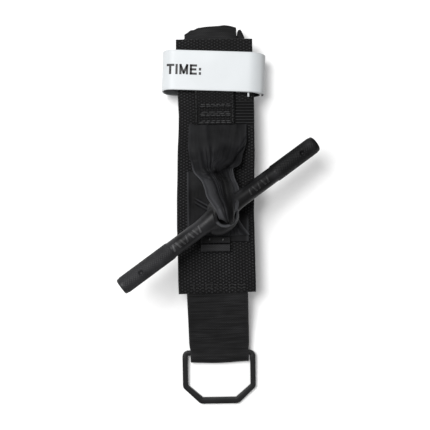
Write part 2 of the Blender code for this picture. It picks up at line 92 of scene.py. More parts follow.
def make_floor():
    side = 1.5
    corners = [(-side, -side, 0), (side, -side, 0), (side, side, 0), (-side, side, 0)]
    mesh = bpy.data.meshes.new("floor")
    mesh.from_pydata(corners, [], [(0, 1, 2, 3)])
    floor = bpy.data.objects.new("floor", mesh)
    bpy.context.scene.collection.objects.link(floor)
    paper = Look("floor_paper", 0.9, specular=0.0)
    paper.colour(paper.grain(900.0, 2.0), (0.9, 0.9, 0.9), (0.93, 0.93, 0.93))
    paper.set("Emission Color", (1.0, 1.0, 1.0, 1.0))
    paper.set("Emission Strength", 0.07)
    floor.data.materials.append(paper.mat)


# ---------------------------------------------------------------- materials

class Look:
    """A Principled material and short names for the nodes that drive it."""

    def __init__(self, name, roughness, metallic=0.0, specular=None, sheen=None):
        self.mat = bpy.data.materials.new(name)
        self.mat.use_nodes = True
        self.tree = self.mat.node_tree
        self.shader = self.tree.nodes["Principled BSDF"]
        self.set("Roughness", roughness)
        self.set("Metallic", metallic)
        if specular is not None:
            self.set("Specular IOR Level", specular)
        if sheen is not None:
            self.set("Sheen Weight", sheen)
        self.height = None

    def set(self, socket, value):
        self.shader.inputs[socket].default_value = value

    def node(self, kind, **settings):
        made = self.tree.nodes.new(kind)
        for key, value in settings.items():
            setattr(made, key, value)
        return made

    def feed(self, value, socket):
        if isinstance(value, bpy.types.NodeSocket):
            self.tree.links.new(value, socket)
        else:
            socket.default_value = value

    def place(self):
        return self.node("ShaderNodeTexCoord").outputs["Object"]

    def thread(self):
        """The cloth's own coordinates: across and along in mm, and a third value: how far a yarn stands up on
        webbing, and on the ribbon, tape and rod a tone that holds painted light and shade.
        """
        source = self.node("ShaderNodeAttribute", attribute_name="thread")
        split = self.node("ShaderNodeSeparateXYZ")
        self.feed(source.outputs["Vector"], split.inputs[0])
        return source.outputs["Vector"], split.outputs[0], split.outputs[1], split.outputs[2]

    def math(self, operation, a, b=0.0, clamp=False):
        made = self.node("ShaderNodeMath", operation=operation, use_clamp=clamp)
        self.feed(a, made.inputs[0])
        self.feed(b, made.inputs[1])
        return made.outputs[0]

    def times(self, a, b, clamp=False):
        return self.math("MULTIPLY", a, b, clamp)

    def wave(self, value, rate):
        return self.math("SINE", self.times(value, rate))

    def noise(self, vector, scale, detail, stretch=None):
        if stretch:
            mapping = self.node("ShaderNodeMapping")
            mapping.inputs["Scale"].default_value = stretch
            self.feed(vector, mapping.inputs["Vector"])
            vector = mapping.outputs["Vector"]
        made = self.node("ShaderNodeTexNoise")
        made.inputs["Scale"].default_value = scale
        made.inputs["Detail"].default_value = detail
        self.feed(vector, made.inputs["Vector"])
        return made.outputs["Fac"]

    def grain(self, scale, detail):
        return self.noise(self.place(), scale, detail)

    def ramp(self, factor, low, high, first=0.3, last=0.7):
        made = self.node("ShaderNodeMapRange")
        self.feed(factor, made.inputs["Value"])
        made.inputs["From Min"].default_value = first
        made.inputs["From Max"].default_value = last
        made.inputs["To Min"].default_value = low
        made.inputs["To Max"].default_value = high
        return made.outputs["Result"]

    def mix(self, factor, dark, light):
        made = self.node("ShaderNodeMix", data_type="RGBA")
        self.feed(factor, made.inputs[0])
        for value, socket in ((dark, made.inputs[6]), (light, made.inputs[7])):
            self.feed((*value, 1.0) if isinstance(value, tuple) else value, socket)
        return made.outputs[2]

    def colour(self, factor, dark, light):
        made = self.mix(factor, dark, light)
        self.feed(made, self.shader.inputs["Base Color"])
        return made

    def rough(self, factor, low, high):
        self.feed(self.ramp(factor, low, high), self.shader.inputs["Roughness"])

    def bump(self, height, strength, distance):
        made = self.node("ShaderNodeBump")
        made.inputs["Strength"].default_value = strength
        made.inputs["Distance"].default_value = distance
        self.feed(height, made.inputs["Height"])
        if self.height is not None:
            self.feed(self.height, made.inputs["Normal"])
        self.height = made.outputs["Normal"]
        self.feed(self.height, self.shader.inputs["Normal"])


def webbing_look(name, dark, light):
    """Coarse nylon webbing: the yarns are in the mesh, their fibres and colour are here; the paler colour on
    the yarn crowns is a painted highlight.
    """
    look = Look(name, 0.5, specular=0.1, sheen=0.04)
    _, across, _, crown = look.thread()
    patch = look.grain(90.0, 3.0)
    yarn = look.grain(1400.0, 2.0)
    # painted highlight: the raised yarn crowns get the light colour
    crown_glint = look.times(look.math("POWER", crown, 4.0), look.ramp(patch, 0.55, 1.2))
    crown_glint = look.times(crown_glint, look.ramp(yarn, 0.7, 1.25), clamp=True)
    look.colour(crown_glint, dark, light)
    look.rough(yarn, 0.42, 0.62)
    look.bump(look.wave(across, 38.0), 0.35, 0.00003)
    look.bump(look.noise(look.place(), 5200.0, 2.0, (1.0, 0.25, 1.0)), 0.4, 0.00005)
    look.set("Sheen Roughness", 0.5)
    return look.mat


def strap_look(name, dark, light):
    """Fine flat webbing: a close weave, with paler selvedges."""
    look = Look(name, 0.62, specular=0.12, sheen=0.02)
    place, across, along, edge = look.thread()
    weave = look.times(look.wave(across, math.pi / 0.62), look.wave(along, math.pi / 0.5))
    patch = look.grain(70.0, 3.0)
    fine = look.grain(2400.0, 2.0)
    streak = look.noise(place, 1.3, 3.0, (0.05, 1.0, 0.0))
    tone = look.times(look.ramp(weave, 0.15, 0.75, -1.0, 1.0), look.ramp(patch, 0.5, 1.15))
    tone = look.times(tone, look.ramp(streak, 0.2, 1.9))
    look.colour(look.math("ADD", tone, look.times(edge, 0.5), clamp=True), dark, light)
    look.rough(fine, 0.55, 0.72)
    look.bump(weave, 0.6, 0.00006)
    look.bump(fine, 0.25, 0.00004)
    return look.mat


def ribbon_look(name, dark, light):
    """Satin ribbon: fine lengthwise yarns with a soft shine and a paler hem."""
    look = Look(name, 0.42, specular=0.09, sheen=0.01)
    place, across, along, edge = look.thread()
    patch = look.grain(60.0, 4.0)
    streak = look.noise(place, 1.1, 3.0, (1.0, 0.08, 0.0))
    tone = look.times(look.ramp(patch, 0.32, 0.66), look.ramp(streak, 0.84, 1.1))
    # the mesh tone adds painted light: painted highlights on hems and pleat ridges, painted shade in the
    # valleys and on the flat run's right part
    look.colour(look.math("ADD", tone, look.times(edge, 0.9), clamp=True), dark, light)
    look.rough(streak, 0.46, 0.6)
    look.bump(look.wave(across, 2 * math.pi / 0.42), 0.35, 0.00003)
    look.bump(look.wave(along, 2 * math.pi / 0.5), 0.2, 0.00002)
    look.bump(look.grain(260.0, 3.0), 0.25, 0.0002)
    return look.mat


def hard_look(name, dark, light, roughness, metallic=0.0, painted_light=0.0, specular=0.32):
    """Bare metal or hard plastic; with painted light its colour grows paler to the left and darker to the
    right, and gets a painted highlight along the eye's lip.
    """
    look = Look(name, roughness, metallic, specular)
    cloudy = look.grain(120.0, 4.0)
    fine = look.grain(3000.0, 2.0)
    tone = look.ramp(cloudy, 0.0, 1.0)
    if painted_light:
        split = look.node("ShaderNodeSeparateXYZ")
        look.feed(look.place(), split.inputs[0])
        # painted light: the colour grows paler towards the rod's left end and darker towards its right end
        tone = look.math("ADD", tone, look.ramp(split.outputs[0], painted_light, -painted_light, -0.035, 0.012), clamp=True)
    made = look.colour(tone, dark, light)
    if painted_light:
        # painted highlight along the top of the eye's lip
        look.colour(look.thread()[3], made, (0.055, 0.056, 0.06))
    look.rough(fine, roughness - 0.06, roughness + 0.1)
    look.bump(fine, 0.12, 0.00004)
    look.bump(cloudy, 0.1, 0.0002)
    return look.mat


def moulded_look(name, dark, light):
    look = Look(name, 0.48, specular=0.28)
    cloudy = look.grain(150.0, 3.0)
    fine = look.grain(4200.0, 2.0)
    look.colour(look.ramp(cloudy, 0.0, 1.0), dark, light)
    look.rough(fine, 0.4, 0.56)
    look.bump(fine, 0.2, 0.00004)
    look.bump(cloudy, 0.12, 0.0003)
    return look.mat


def tape_look(name, dark, light):
    """White write-on tape: a very fine weave under a smooth coating; its face carries painted shade at the
    band's right end, and its back gets a dark colour that is painted shade inside the loop.
    """
    look = Look(name, 0.5, sheen=0.05)
    _, across, along, edge = look.thread()
    weave = look.times(look.wave(across, 2 * math.pi / 0.45), look.wave(along, 2 * math.pi / 0.45))
    patch = look.grain(45.0, 3.0)
    fine = look.grain(2600.0, 2.0)
    # edge holds the selvedges and the painted shade at the band's right end
    paleness = look.math("SUBTRACT", look.ramp(patch, 0.86, 1.0), look.times(edge, 0.16), clamp=True)
    face = look.mix(paleness, dark, light)
    # painted shade: the back face gets this dark colour
    painted_shade_back = look.mix(look.ramp(weave, 0.2, 0.8, -1.0, 1.0), (0.03, 0.03, 0.031), (0.075, 0.075, 0.078))
    look.colour(look.times(edge, -1.0, clamp=True), face, painted_shade_back)
    look.rough(fine, 0.42, 0.56)
    look.bump(weave, 0.25, 0.00003)
    look.bump(patch, 0.12, 0.0006)
    return look.mat


def thread_look(name, dark, light):
    look = Look(name, 0.4)
    _, across, along, _ = look.thread()
    twist = look.math("SINE", look.math("ADD", look.times(along, 22.0), across))
    patch = look.ramp(look.grain(500.0, 2.0), 0.5, 1.1)
    look.colour(look.times(look.ramp(twist, 0.0, 1.0, -1.0, 1.0), patch, clamp=True), dark, light)
    look.bump(twist, 0.5, 0.00005)
    return look.mat


def ink_look(name):
    look = Look(name, 0.55)
    look.colour(look.grain(1500.0, 3.0), (0.006, 0.006, 0.0065), (0.018, 0.018, 0.019))
    look.bump(look.grain(3000.0, 2.0), 0.2, 0.00003)
    return look.mat


# ---------------------------------------------------------------- mesh building

def mesh_object(name, verts, faces, material, threads=None, smooth=True):
    mesh = bpy.data.meshes.new(name)
    mesh.from_pydata((np.asarray(verts, float) * MM).tolist(), [], faces)
    if smooth:
        mesh.shade_smooth()
    if threads is not None:
        held = mesh.attributes.new("thread", "FLOAT_VECTOR", "POINT")
        held.data.foreach_set("vector", np.asarray(threads, np.float32).ravel())
    obj = bpy.data.objects.new(name, mesh)
    obj.data.materials.append(material)
    bpy.context.scene.collection.objects.link(obj)
    return obj


def quads(rows, cols, start=0, wrap_rows=False, wrap_cols=False, flip=False):
    made = []
    for i in range(rows if wrap_rows else rows - 1):
        for j in range(cols if wrap_cols else cols - 1):
            here, there = start + i * cols, start + (i + 1) % rows * cols
            beside = (j + 1) % cols
            face = (here + j, here + beside, there + beside, there + j)
            made.append(face[::-1] if flip else face)
    return made


def closed_faces(rows, cols, start=0):
    """The faces of two grids, the second one below the first, joined all round."""
    low = start + rows * cols
    last = (rows - 1) * cols
    rim = list(range(cols)) + [i * cols + cols - 1 for i in range(1, rows)]
    rim += list(range(last + cols - 2, last - 1, -1)) + list(range(last - cols, 0, -cols))
    sides = [(start + a, low + a, low + b, start + b) for a, b in zip(rim, rim[1:] + rim[:1])]
    return quads(rows, cols, start) + quads(rows, cols, low, flip=True) + sides


def capped(rings, sides, start=0, flip=False):
    """The faces of a tube of rings, with one flat face at each end."""
    first = tuple(range(start, start + sides))
    last = tuple(k + (rings - 1) * sides for k in first)
    ends = [first, last[::-1]] if flip else [first[::-1], last]
    return quads(rings, sides, start, wrap_cols=True, flip=flip) + ends


def fix_facing(obj):
    """Turns a closed mesh the right way out if its volume comes out negative."""
    mesh = obj.data
    mesh.calc_loop_triangles()
    points = np.array([v.co for v in mesh.vertices])
    corners = points[np.array([t.vertices for t in mesh.loop_triangles])]
    volume = np.einsum("ij,ij->i", corners[:, 0], np.cross(corners[:, 1], corners[:, 2])).sum()
    if volume < 0:
        mesh.flip_normals()


def to_world(points, matrix):
    m = np.array(matrix)
    return np.asarray(points, float) @ m[:3, :3].T + m[:3, 3]


def attach(obj, body, slot, *nodes):
    """Which CAD nodes a piece stands for, which body it rides (if it doesn't bend), and its group, which is
    not used.
    """
    if nodes:
        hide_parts(*nodes)
    if body:
        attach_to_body(obj, body)


def declare(obj, nodes, body, slot, flat, held, rests_on, **more):
    """The same for a piece cut from flat goods, with its flat size in mm, which is not used."""
    attach(obj, body, slot, *nodes)


def unit(vectors):
    return vectors / np.maximum(np.linalg.norm(vectors, axis=-1, keepdims=True), 1e-12)


def normals_of(grid):
    return unit(np.cross(np.gradient(grid, axis=1), np.gradient(grid, axis=0)))


def cloth(name, grid, top, bottom, material, threads, under=None):
    """A closed cloth: the mid-surface grid in mm, pushed out by top and bottom along its normals."""
    rows, cols = grid.shape[:2]
    normal = normals_of(grid)
    upper = grid + normal * np.broadcast_to(top, (rows, cols))[..., None]
    lower = grid - normal * np.broadcast_to(bottom, (rows, cols))[..., None]
    verts = np.concatenate([upper.reshape(-1, 3), lower.reshape(-1, 3)])
    both = np.concatenate([threads.reshape(-1, 3), (threads if under is None else under).reshape(-1, 3)])
    made = mesh_object(name, verts, closed_faces(rows, cols), material, both)
    fix_facing(made)
    return made


def spread(width, step, rim=(0.0, 0.07, 0.2, 0.42)):
    """Places across a width, close together at both edges."""
    half = width / 2
    inner = half - rim[-1]
    count = max(2, int(round(2 * inner / step)))
    middle = np.linspace(-inner, inner, count + 1)
    edge = half - np.array(rim[:-1])
    return np.concatenate([-edge, middle, edge[::-1]])


def round_edge(places, width, radius):
    """How full the thickness is at each place: it rounds off over `radius` at both edges."""
    inside = np.clip((width / 2 - np.abs(places)) / radius, 0.0, 1.0)
    return np.sqrt(np.maximum(1 - (1 - inside) ** 2, 0.0025))


def arc(centre, radius, start_deg, end_deg, count=8):
    angles = np.radians(np.linspace(start_deg, end_deg, count + 1))
    return [(centre[0] + radius * math.cos(a), centre[1] + radius * math.sin(a)) for a in angles]


def subdivide(path, longest):
    made = [tuple(path[0])]
    for before, after in zip(path, path[1:]):
        before, after = np.array(before, float), np.array(after, float)
        count = max(1, int(math.ceil(np.linalg.norm(after - before) / longest)))
        made += [tuple(before + (after - before) * k / count) for k in range(1, count + 1)]
    return made


def run_length(path):
    steps = np.linalg.norm(np.diff(np.asarray(path, float), axis=0), axis=1)
    return np.concatenate([[0.0], np.cumsum(steps)])


def smooth_route(points, per_span):
    """Catmull-Rom samples through the given points, in any number of dimensions."""
    p = np.asarray(points, float)
    p = np.concatenate([p[:1], p, p[-1:]])
    made = []
    for i in range(1, len(p) - 2):
        a, b, c, d = p[i - 1:i + 3]
        for k in range(per_span):
            t = k / per_span
            made.append(0.5 * (2 * b + (c - a) * t + (2 * a - 5 * b + 4 * c - d) * t * t
                               + (3 * b - a - 3 * c + d) * t ** 3))
    made.append(p[-2])
    return np.array(made)


def rise(value, start, over):
    """From 0 to 1 as the value climbs `over` past `start`."""
    return np.clip((value - start) / over, 0, 1)


def fall(value, start, over):
    """From 0 to 1 as the value drops `over` below `start`."""
    return np.clip((start - value) / over, 0, 1)


def bump_at(value, middle, width):
    return np.exp(-((value - middle) / width) ** 2)


def wander(value, seed, scale):
    """Slow smooth noise between about -1 and 1."""
    places = np.asarray(value, float)
    heights = [noise.noise(Vector((place * scale, seed, 0.37))) * 1.6 for place in places.ravel()]
    return np.array(heights).reshape(places.shape)


def spun(x, y, yaw, at):
    """Places turned by yaw about zero and then moved to `at`."""
    c, k = math.cos(yaw), math.sin(yaw)
    return at[0] + x * c - y * k, at[1] + x * k + y * c


def strap(name, path, width, thickness, material, x, yaw=0.0, pivot=(0.0, 0.0), step=0.9, warp=None):
    """Flat webbing along a (y, z) path in mm, turned by yaw about the pivot."""
    path = np.asarray(path, float)
    u, s = np.meshgrid(spread(width, step), run_length(path))
    y, z = (np.broadcast_to(path[:, k:k + 1], u.shape) for k in (0, 1))
    grid = np.stack([u + x, y, z], axis=-1)
    if warp:
        grid = warp(grid, u, s)
    if yaw:
        grid[..., 0], grid[..., 1] = spun(grid[..., 0] - pivot[0], grid[..., 1] - pivot[1], yaw, pivot)
    half = thickness / 2 * round_edge(u, width, 0.4)
    edge = np.clip(1 - (width / 2 - np.abs(u)) / 0.9, 0, 1)
    return cloth(name, grid, half, half, material, np.stack([u, s, edge], axis=-1))


def tubes(name, runs, radius, material):
    """Round threads, each along its own list of points, as one object of closed tubes."""
    sides = 8
    turn = np.linspace(0, 2 * np.pi, sides, endpoint=False)
    verts, faces, threads = [], [], []
    for run in runs:
        run = np.asarray(run, float)
        tangent = unit(np.concatenate([run[1:], run[-1:]]) - np.concatenate([run[:1], run[:-1]]))
        side = unit(np.cross(tangent, np.array([0.31, 0.22, 0.93])))
        over = np.cross(side, tangent)
        around = np.cos(turn)[None, :, None] * side[:, None] + np.sin(turn)[None, :, None] * over[:, None]
        full = np.full(len(run), radius)
        full[0] = full[-1] = radius * 0.45
        start = sum(len(v) for v in verts)
        verts.append((run[:, None] + full[:, None, None] * around).reshape(-1, 3))
        length = np.repeat(run_length(run), sides)
        threads.append(np.stack([np.tile(turn, len(run)), length, np.zeros(len(length))], 1))
        faces += capped(len(run), sides, start)
    return mesh_object(name, np.concatenate(verts), faces, material, np.concatenate(threads))


def stitch_line(first, last, pitch, high):
    """The threads of one row of stitches: short arches whose ends go down into the cloth."""
    first, last = np.asarray(first, float), np.asarray(last, float)
    count = max(1, int(round(np.linalg.norm(last - first) / pitch)))
    half_gap = 0.125 / pitch
    share = np.linspace(0, 1, 7)[:, None]
    runs = []
    for k in range(count):
        a = first + (last - first) * (k + half_gap) / count
        b = first + (last - first) * (k + 1 - half_gap) / count
        run = a + (b - a) * share
        run[:, 2] += high * np.sin(np.pi * share[:, 0]) ** 0.5 - 0.12
        run[:, 1] += 0.10 * noise.noise(Vector((float(a[0]) * 1.7, float(a[1]) * 1.7, k * 0.31)))
        runs.append(run)
    return runs


# ---------------------------------------------------------------- webbing with its yarns

def knuckles(u, v, pitch_u, pitch_v):
    """Height from 0 to 1 of a coarse weave whose neighbouring columns are half a row apart."""
    column = np.floor(u / pitch_u)
    a = u / pitch_u - column - 0.5
    phase = v / pitch_v + 0.5 * np.mod(column, 2)
    b = phase - np.floor(phase) - 0.5
    return np.sqrt(np.clip(1 - (2 * a) ** 2, 0, 1)) * np.clip(np.cos(np.pi * b), 0, 1) ** 0.75


def woven_slab(name, x, y, z, thickness, material, pitch, relief, warp, ribs=None):
    """A thick webbing, its yarns raised on the top face; x, y are (low, high), z is its middle."""
    samples, edge = 6, 0.9
    width, length = x[1] - x[0], y[1] - y[0]
    across = spread(width, pitch[0] / samples, (0.0, 0.1, 0.28, 0.55))
    along = spread(length, pitch[1] / samples, (0.0, 0.12, 0.3, 0.6))
    u, v = np.meshgrid(across, along)
    grid = warp(np.stack([u + sum(x) / 2, v + sum(y) / 2, np.full(u.shape, float(z))], axis=-1), u)
    full = round_edge(u, width, edge) * round_edge(v, length, edge)
    crown = knuckles(u + 0.3 * pitch[0], v, *pitch)
    crown = crown * (0.85 + 0.3 * np.sin(u * 7.1 + np.floor(v / pitch[1]) * 1.9) * np.sin(v * 3.3))
    if ribs:
        share = ribs(grid)
        crown = crown * (1 - share) + share * 0.8 * np.abs(np.cos(np.pi * v / pitch[1])) ** 1.8
    half = (thickness / 2 - relief) * full
    threads = np.stack([u, v, np.clip(crown, 0, 1)], axis=-1)
    return cloth(name, grid, half + relief * crown * full, half + relief * 0.5 * full, material, threads)


def base_warp(grid, u):
    """The long base is not quite straight or flat."""
    y = grid[..., 1]
    grid[..., 0] += 0.22 * wander(y[:, :1], 3.1, 0.035) + 0.16 * np.sign(u) * wander(y[:, :1], 7.7, 0.09)
    left = np.interp(y, (0, 25, 36, 44, 50, 60, 84), (0, 0.25, 0.7, 1.2, 1.4, 0.85, 0.25))
    right = np.interp(y, (-30, -18, 0, 25, 40, 84), (0.5, 0.5, 0.05, 0.35, 0.75, 0.25))
    grid[..., 0] += left + (right - left) * (u / 38.1 + 0.5)
    grid[..., 2] += 0.12 * wander(y[:, :1], 1.7, 0.05) - 0.35 * np.abs(u / 19.0) ** 4
    grid[..., 1] -= fall(y, -25.0, 12.0) * (0.55 - 0.02 * u)
    return grid


def pulled_ribs(grid):
    """Beside the sewn end the base is pulled into plain cross ribs."""
    x, y = grid[..., 0], grid[..., 1]
    return rise(x, 7.5, 1.0) * rise(y, 44.0, 1.5) * fall(y, 58.0, 1.5)


# ---------------------------------------------------------------- straps under the base

LAYER_PITCH, LAYER_FIRST = 1.45, 1.8
SLIDE_Z, SLIDE_HALF = 9.25, 0.8
SLIDE_BARS = (15.0, 3.0, -14.0)
BAR_GAP = 0.85
BASE_MID, BASE_THICK = 15.6, 2.2


def layer_z(index):
    return LAYER_FIRST + LAYER_PITCH * index


def fold(y, upper, towards):
    """The turn of the strap at y from layer `upper` to the one below, bulging towards +Y or -Y."""
    middle = (y, layer_z(upper) - LAYER_PITCH / 2)
    return arc(middle, LAYER_PITCH / 2, 90, -90 if towards > 0 else 270, 10)


def main_strap_path():
    over_bar = SLIDE_Z + SLIDE_HALF + BAR_GAP
    radius = (over_bar - layer_z(3)) / 2
    path = [(85.5, layer_z(8))] + fold(27.0, 8, -1) + fold(94.0, 7, 1) + fold(28.0, 6, -1) + fold(93.3, 5, 1)
    first, second = SLIDE_BARS[:2]
    path += list(smooth_route([
        (first, layer_z(4)), (first - 3.4, layer_z(4) + 0.15), (second + 5.8, (layer_z(4) + over_bar) / 2),
        (second + 2.6, over_bar - 0.1), (second, over_bar)], 5))
    path += arc((second - 2.5, layer_z(3) + radius), radius, 90, 270, 14)
    path += fold(93.7, 3, 1) + fold(-35.0, 2, -1) + fold(92.6, 1, 1) + [(-33.0, layer_z(0))]
    return subdivide(path, 3.0)


UPPER_END = ((-17.0, 91.5), (-15.0, 92.6), (-13.5, 93.7), (-11.9, 93.8), (-10.0, 94.7), (-6.0, 95.2),
             (0.5, 95.6), (3.1, 96.0), (6.0, 95.7), (9.0, 94.9))
LOWER_END = ((-17.4, 89.6), (-15.5, 90.8), (0.0, 91.3), (9.0, 91.2), (10.0, 91.0), (10.45, 94.2),
             (11.2, 94.4), (12.1, 92.4), (13.2, 90.0))


def main_strap_warp(grid, u, s):
    """The folds at the upper end bow out, and one corner is pinched, with a slit beside it."""
    y, z = grid[..., 1].copy(), grid[..., 2]
    top = rise(y, 78.0, 15.0) ** 2
    layer = (z - LAYER_FIRST) / LAYER_PITCH
    upper = rise(layer, 5.4, 0.4)
    second = rise(layer, 3.4, 0.4) * (1 - upper)
    narrow = -16.8 + (u + 15.25) * 0.8525
    grid[..., 0] += rise(y, 78.0, 9.0) * upper * (narrow - grid[..., 0])
    x = grid[..., 0]
    upper_shift = np.interp(x, *zip(*UPPER_END)) - 95.3
    second_shift = np.interp(x, *zip(*LOWER_END)) - 94.6
    low_shift = -3.6 - 0.012 * (x + 2.0) ** 2
    grid[..., 1] = y + top * (upper * upper_shift + second * second_shift + (1 - upper - second) * low_shift)
    grid[..., 2] -= top * upper * 0.007 * (x + 3.8) ** 2
    grid[..., 0] += 0.3 * wander(s[:, :1], 5.3, 0.013) * (1 - top)
    loose = fall(y, -16.0, 14.0) ** 1.5
    grid[..., 2] += loose * np.clip(layer - 0.6, 0, 1.4) * 1.9
    return grid


def buckle_strap_path():
    bar = SLIDE_BARS[2]
    above, below = SLIDE_Z + SLIDE_HALF + BAR_GAP, SLIDE_Z - SLIDE_HALF - BAR_GAP
    under = BASE_MID - BASE_THICK / 2 - 0.9
    turn = (under - above) / 2
    path = list(smooth_route([(bar - 7.6, below + 1.4), (bar - 4.5, below + 0.6), (bar - 1.8, below),
                              (bar + 1.0, below)], 4))
    path += arc((bar + 1.7, SLIDE_Z), (above - below) / 2, -90, 90, 12)
    path += arc((bar - 7.0, above + turn), turn, 270, 90, 12) + [(20.0, under)]
    return subdivide(path, 2.5)


# ---------------------------------------------------------------- ring strap and lock ring

RING_X, RING_YAW = -1.45, math.radians(0.2)
RING_STRAP_X, RING_STRAP_YAW = -1.75, math.radians(1.2)
LIFT = (-39.0, 12.9)
RING_BAR = (-69.6, 2.8)


def ring_strap_path():
    """From the sewn end under the base, down round the ring's bar and back."""
    loop = (RING_BAR[0] - 2.1, RING_BAR[1])
    radius = 2.3
    down = [(-24.3, 13.65), (-30.0, 13.65), (-37.0, 13.65), (-40.5, 13.0), (-51.0, 9.6), (-61.0, 6.4),
            (RING_BAR[0] + 1.5, RING_BAR[1] + radius), (loop[0], loop[1] + radius)]
    back = [(loop[0], loop[1] - radius), (RING_BAR[0] + 1.5, RING_BAR[1] - radius + 0.1), (-61.5, 4.3),
            (-51.4, 7.7), (-41.0, 11.4), (-37.0, 12.35), (-30.0, 12.35), (-24.3, 12.35)]
    path = list(smooth_route(down, 5))
    path += arc(loop, radius, 90, 270, 12)[1:-1]
    path += list(smooth_route(back, 5))
    return subdivide(path, 1.6)


def ring_strap_warp(grid, u, s):
    """The free part bows up between its hems, and narrows a little where it goes round the ring."""
    y = grid[..., 1]
    free = fall(y, -40.0, 8.0)
    belly = free * (0.25 * np.cos(u / 15.2 * np.pi) + 0.18 * wander(y[:, :1] + u[:1] * 0.3, 2.2, 0.07))
    grid[..., 2] += belly * rise(y, -66.0, 8.0)
    grid[..., 0] -= 0.028 * u * fall(y, -64.5, 3.0)
    grid[..., 1] += -0.35 * fall(y, -70.0, 2.0) * np.cos(u / 15.2 * 2.4)
    return grid


def fillet(corners, radius, count=7):
    made = []
    for i, corner in enumerate(corners):
        here = Vector(corner)
        before = (Vector(corners[i - 1]) - here).normalized()
        after = (Vector(corners[(i + 1) % len(corners)]) - here).normalized()
        half = before.angle(after) / 2
        centre = here + (before + after).normalized() * (radius / math.sin(half))
        reach = radius / math.tan(half)
        first, last = ((here + way * reach - centre).normalized() for way in (before, after))
        made += [tuple(centre + first.slerp(last, k / count) * radius) for k in range(count + 1)]
    return made


def make_ring(material):
    """The moulded ring: a bevelled flat-sided bar along a six-cornered outline."""
    side, shoulder, foot, reach = 17.3, -17.2, 9.1, -24.7
    corners = [(-side, 0), (-side, shoulder), (-foot, reach), (foot, reach), (side, shoulder), (side, 0)]
    outline = fillet(corners, 1.6)
    line = np.array(subdivide(outline + outline[:1], 2.0)[:-1])
    tangent = unit(np.roll(line, -1, axis=0) - np.roll(line, 1, axis=0))
    outward = np.stack([-tangent[:, 1], tangent[:, 0]], axis=1)
    centre = line.mean(axis=0)
    if ((line - centre) * outward).sum() < 0:
        outward = -outward
    turn = np.linspace(0, 2 * np.pi, 28, endpoint=False)
    wide, high = (np.sign(wave) * np.abs(wave) ** 0.42 for wave in (np.cos(turn), np.sin(turn)))
    slimmer = 0.13 * rise(line[:, 1], -1.6, 1.2)
    half_width = 1.36 - slimmer + 0.22 * fall(line[:, 1], -19.0, 5.0)
    verts = np.zeros((len(line), len(turn), 3))
    verts[..., :2] = line[:, None] + outward[:, None] * (wide[None, :, None] * half_width[:, None, None])
    verts[..., 2] = high[None] * (1.38 - slimmer)[:, None]
    slope = math.asin((RING_BAR[1] - 1.4) / 24.2)
    place = (Matrix.Translation((RING_X, RING_BAR[0], RING_BAR[1]))
             @ Matrix.Rotation(RING_YAW, 4, "Z") @ Matrix.Rotation(slope, 4, "X"))
    faces = quads(len(line), len(turn), wrap_rows=True, wrap_cols=True)
    ring = mesh_object("ring_bar", to_world(verts.reshape(-1, 3), place), faces, material)
    fix_facing(ring)
    attach(ring, "lock_ring", "ring", "lock_ring")


# ---------------------------------------------------------------- ribbon

RIBBON_WIDTH = 28.6


def meander(ratio_wanted, angles):
    """How strongly a pleated section must bend so that its width shrinks to the wanted share."""
    low, high = 0.0, 2.15
    for _ in range(24):
        middle = (low + high) / 2
        wide = np.cos(middle * angles).mean() > ratio_wanted
        low, high = (middle, high) if wide else (low, middle)
    return low


def pleat_section(width, angles, steps, lean, sag):
    """One cross-section of the gathered ribbon: places sideways and upwards, and heights in their pleat."""
    ratio = min(width / RIBBON_WIDTH + 0.002, 1.0)
    turn = meander(ratio, angles) * min((1.0 - ratio) / 0.04, 1.0) ** 0.5 * angles
    mean_turn = (turn[1:] + turn[:-1]) / 2
    lateral = np.concatenate([[0], np.cumsum(np.cos(mean_turn) * steps)])
    raised = np.concatenate([[0], np.cumsum(np.sin(mean_turn) * steps)])
    raised -= np.interp(lateral, [0, lateral[-1]], [raised[0], raised[-1]])
    lateral = lateral / lateral[-1] * width - width / 2
    raised -= raised.mean()
    most = (0.125 + 0.06 * min(max((width - 9.0) / 6.0, 0.0), 1.0)) * width
    raised = most * np.tanh(raised / most)
    ridge = raised / most
    lateral = lateral + lean * raised * (1 - (2 * np.abs(lateral) / width) ** 2)
    raised += sag * (1 - (2 * lateral / width) ** 2)
    return lateral, raised, ridge


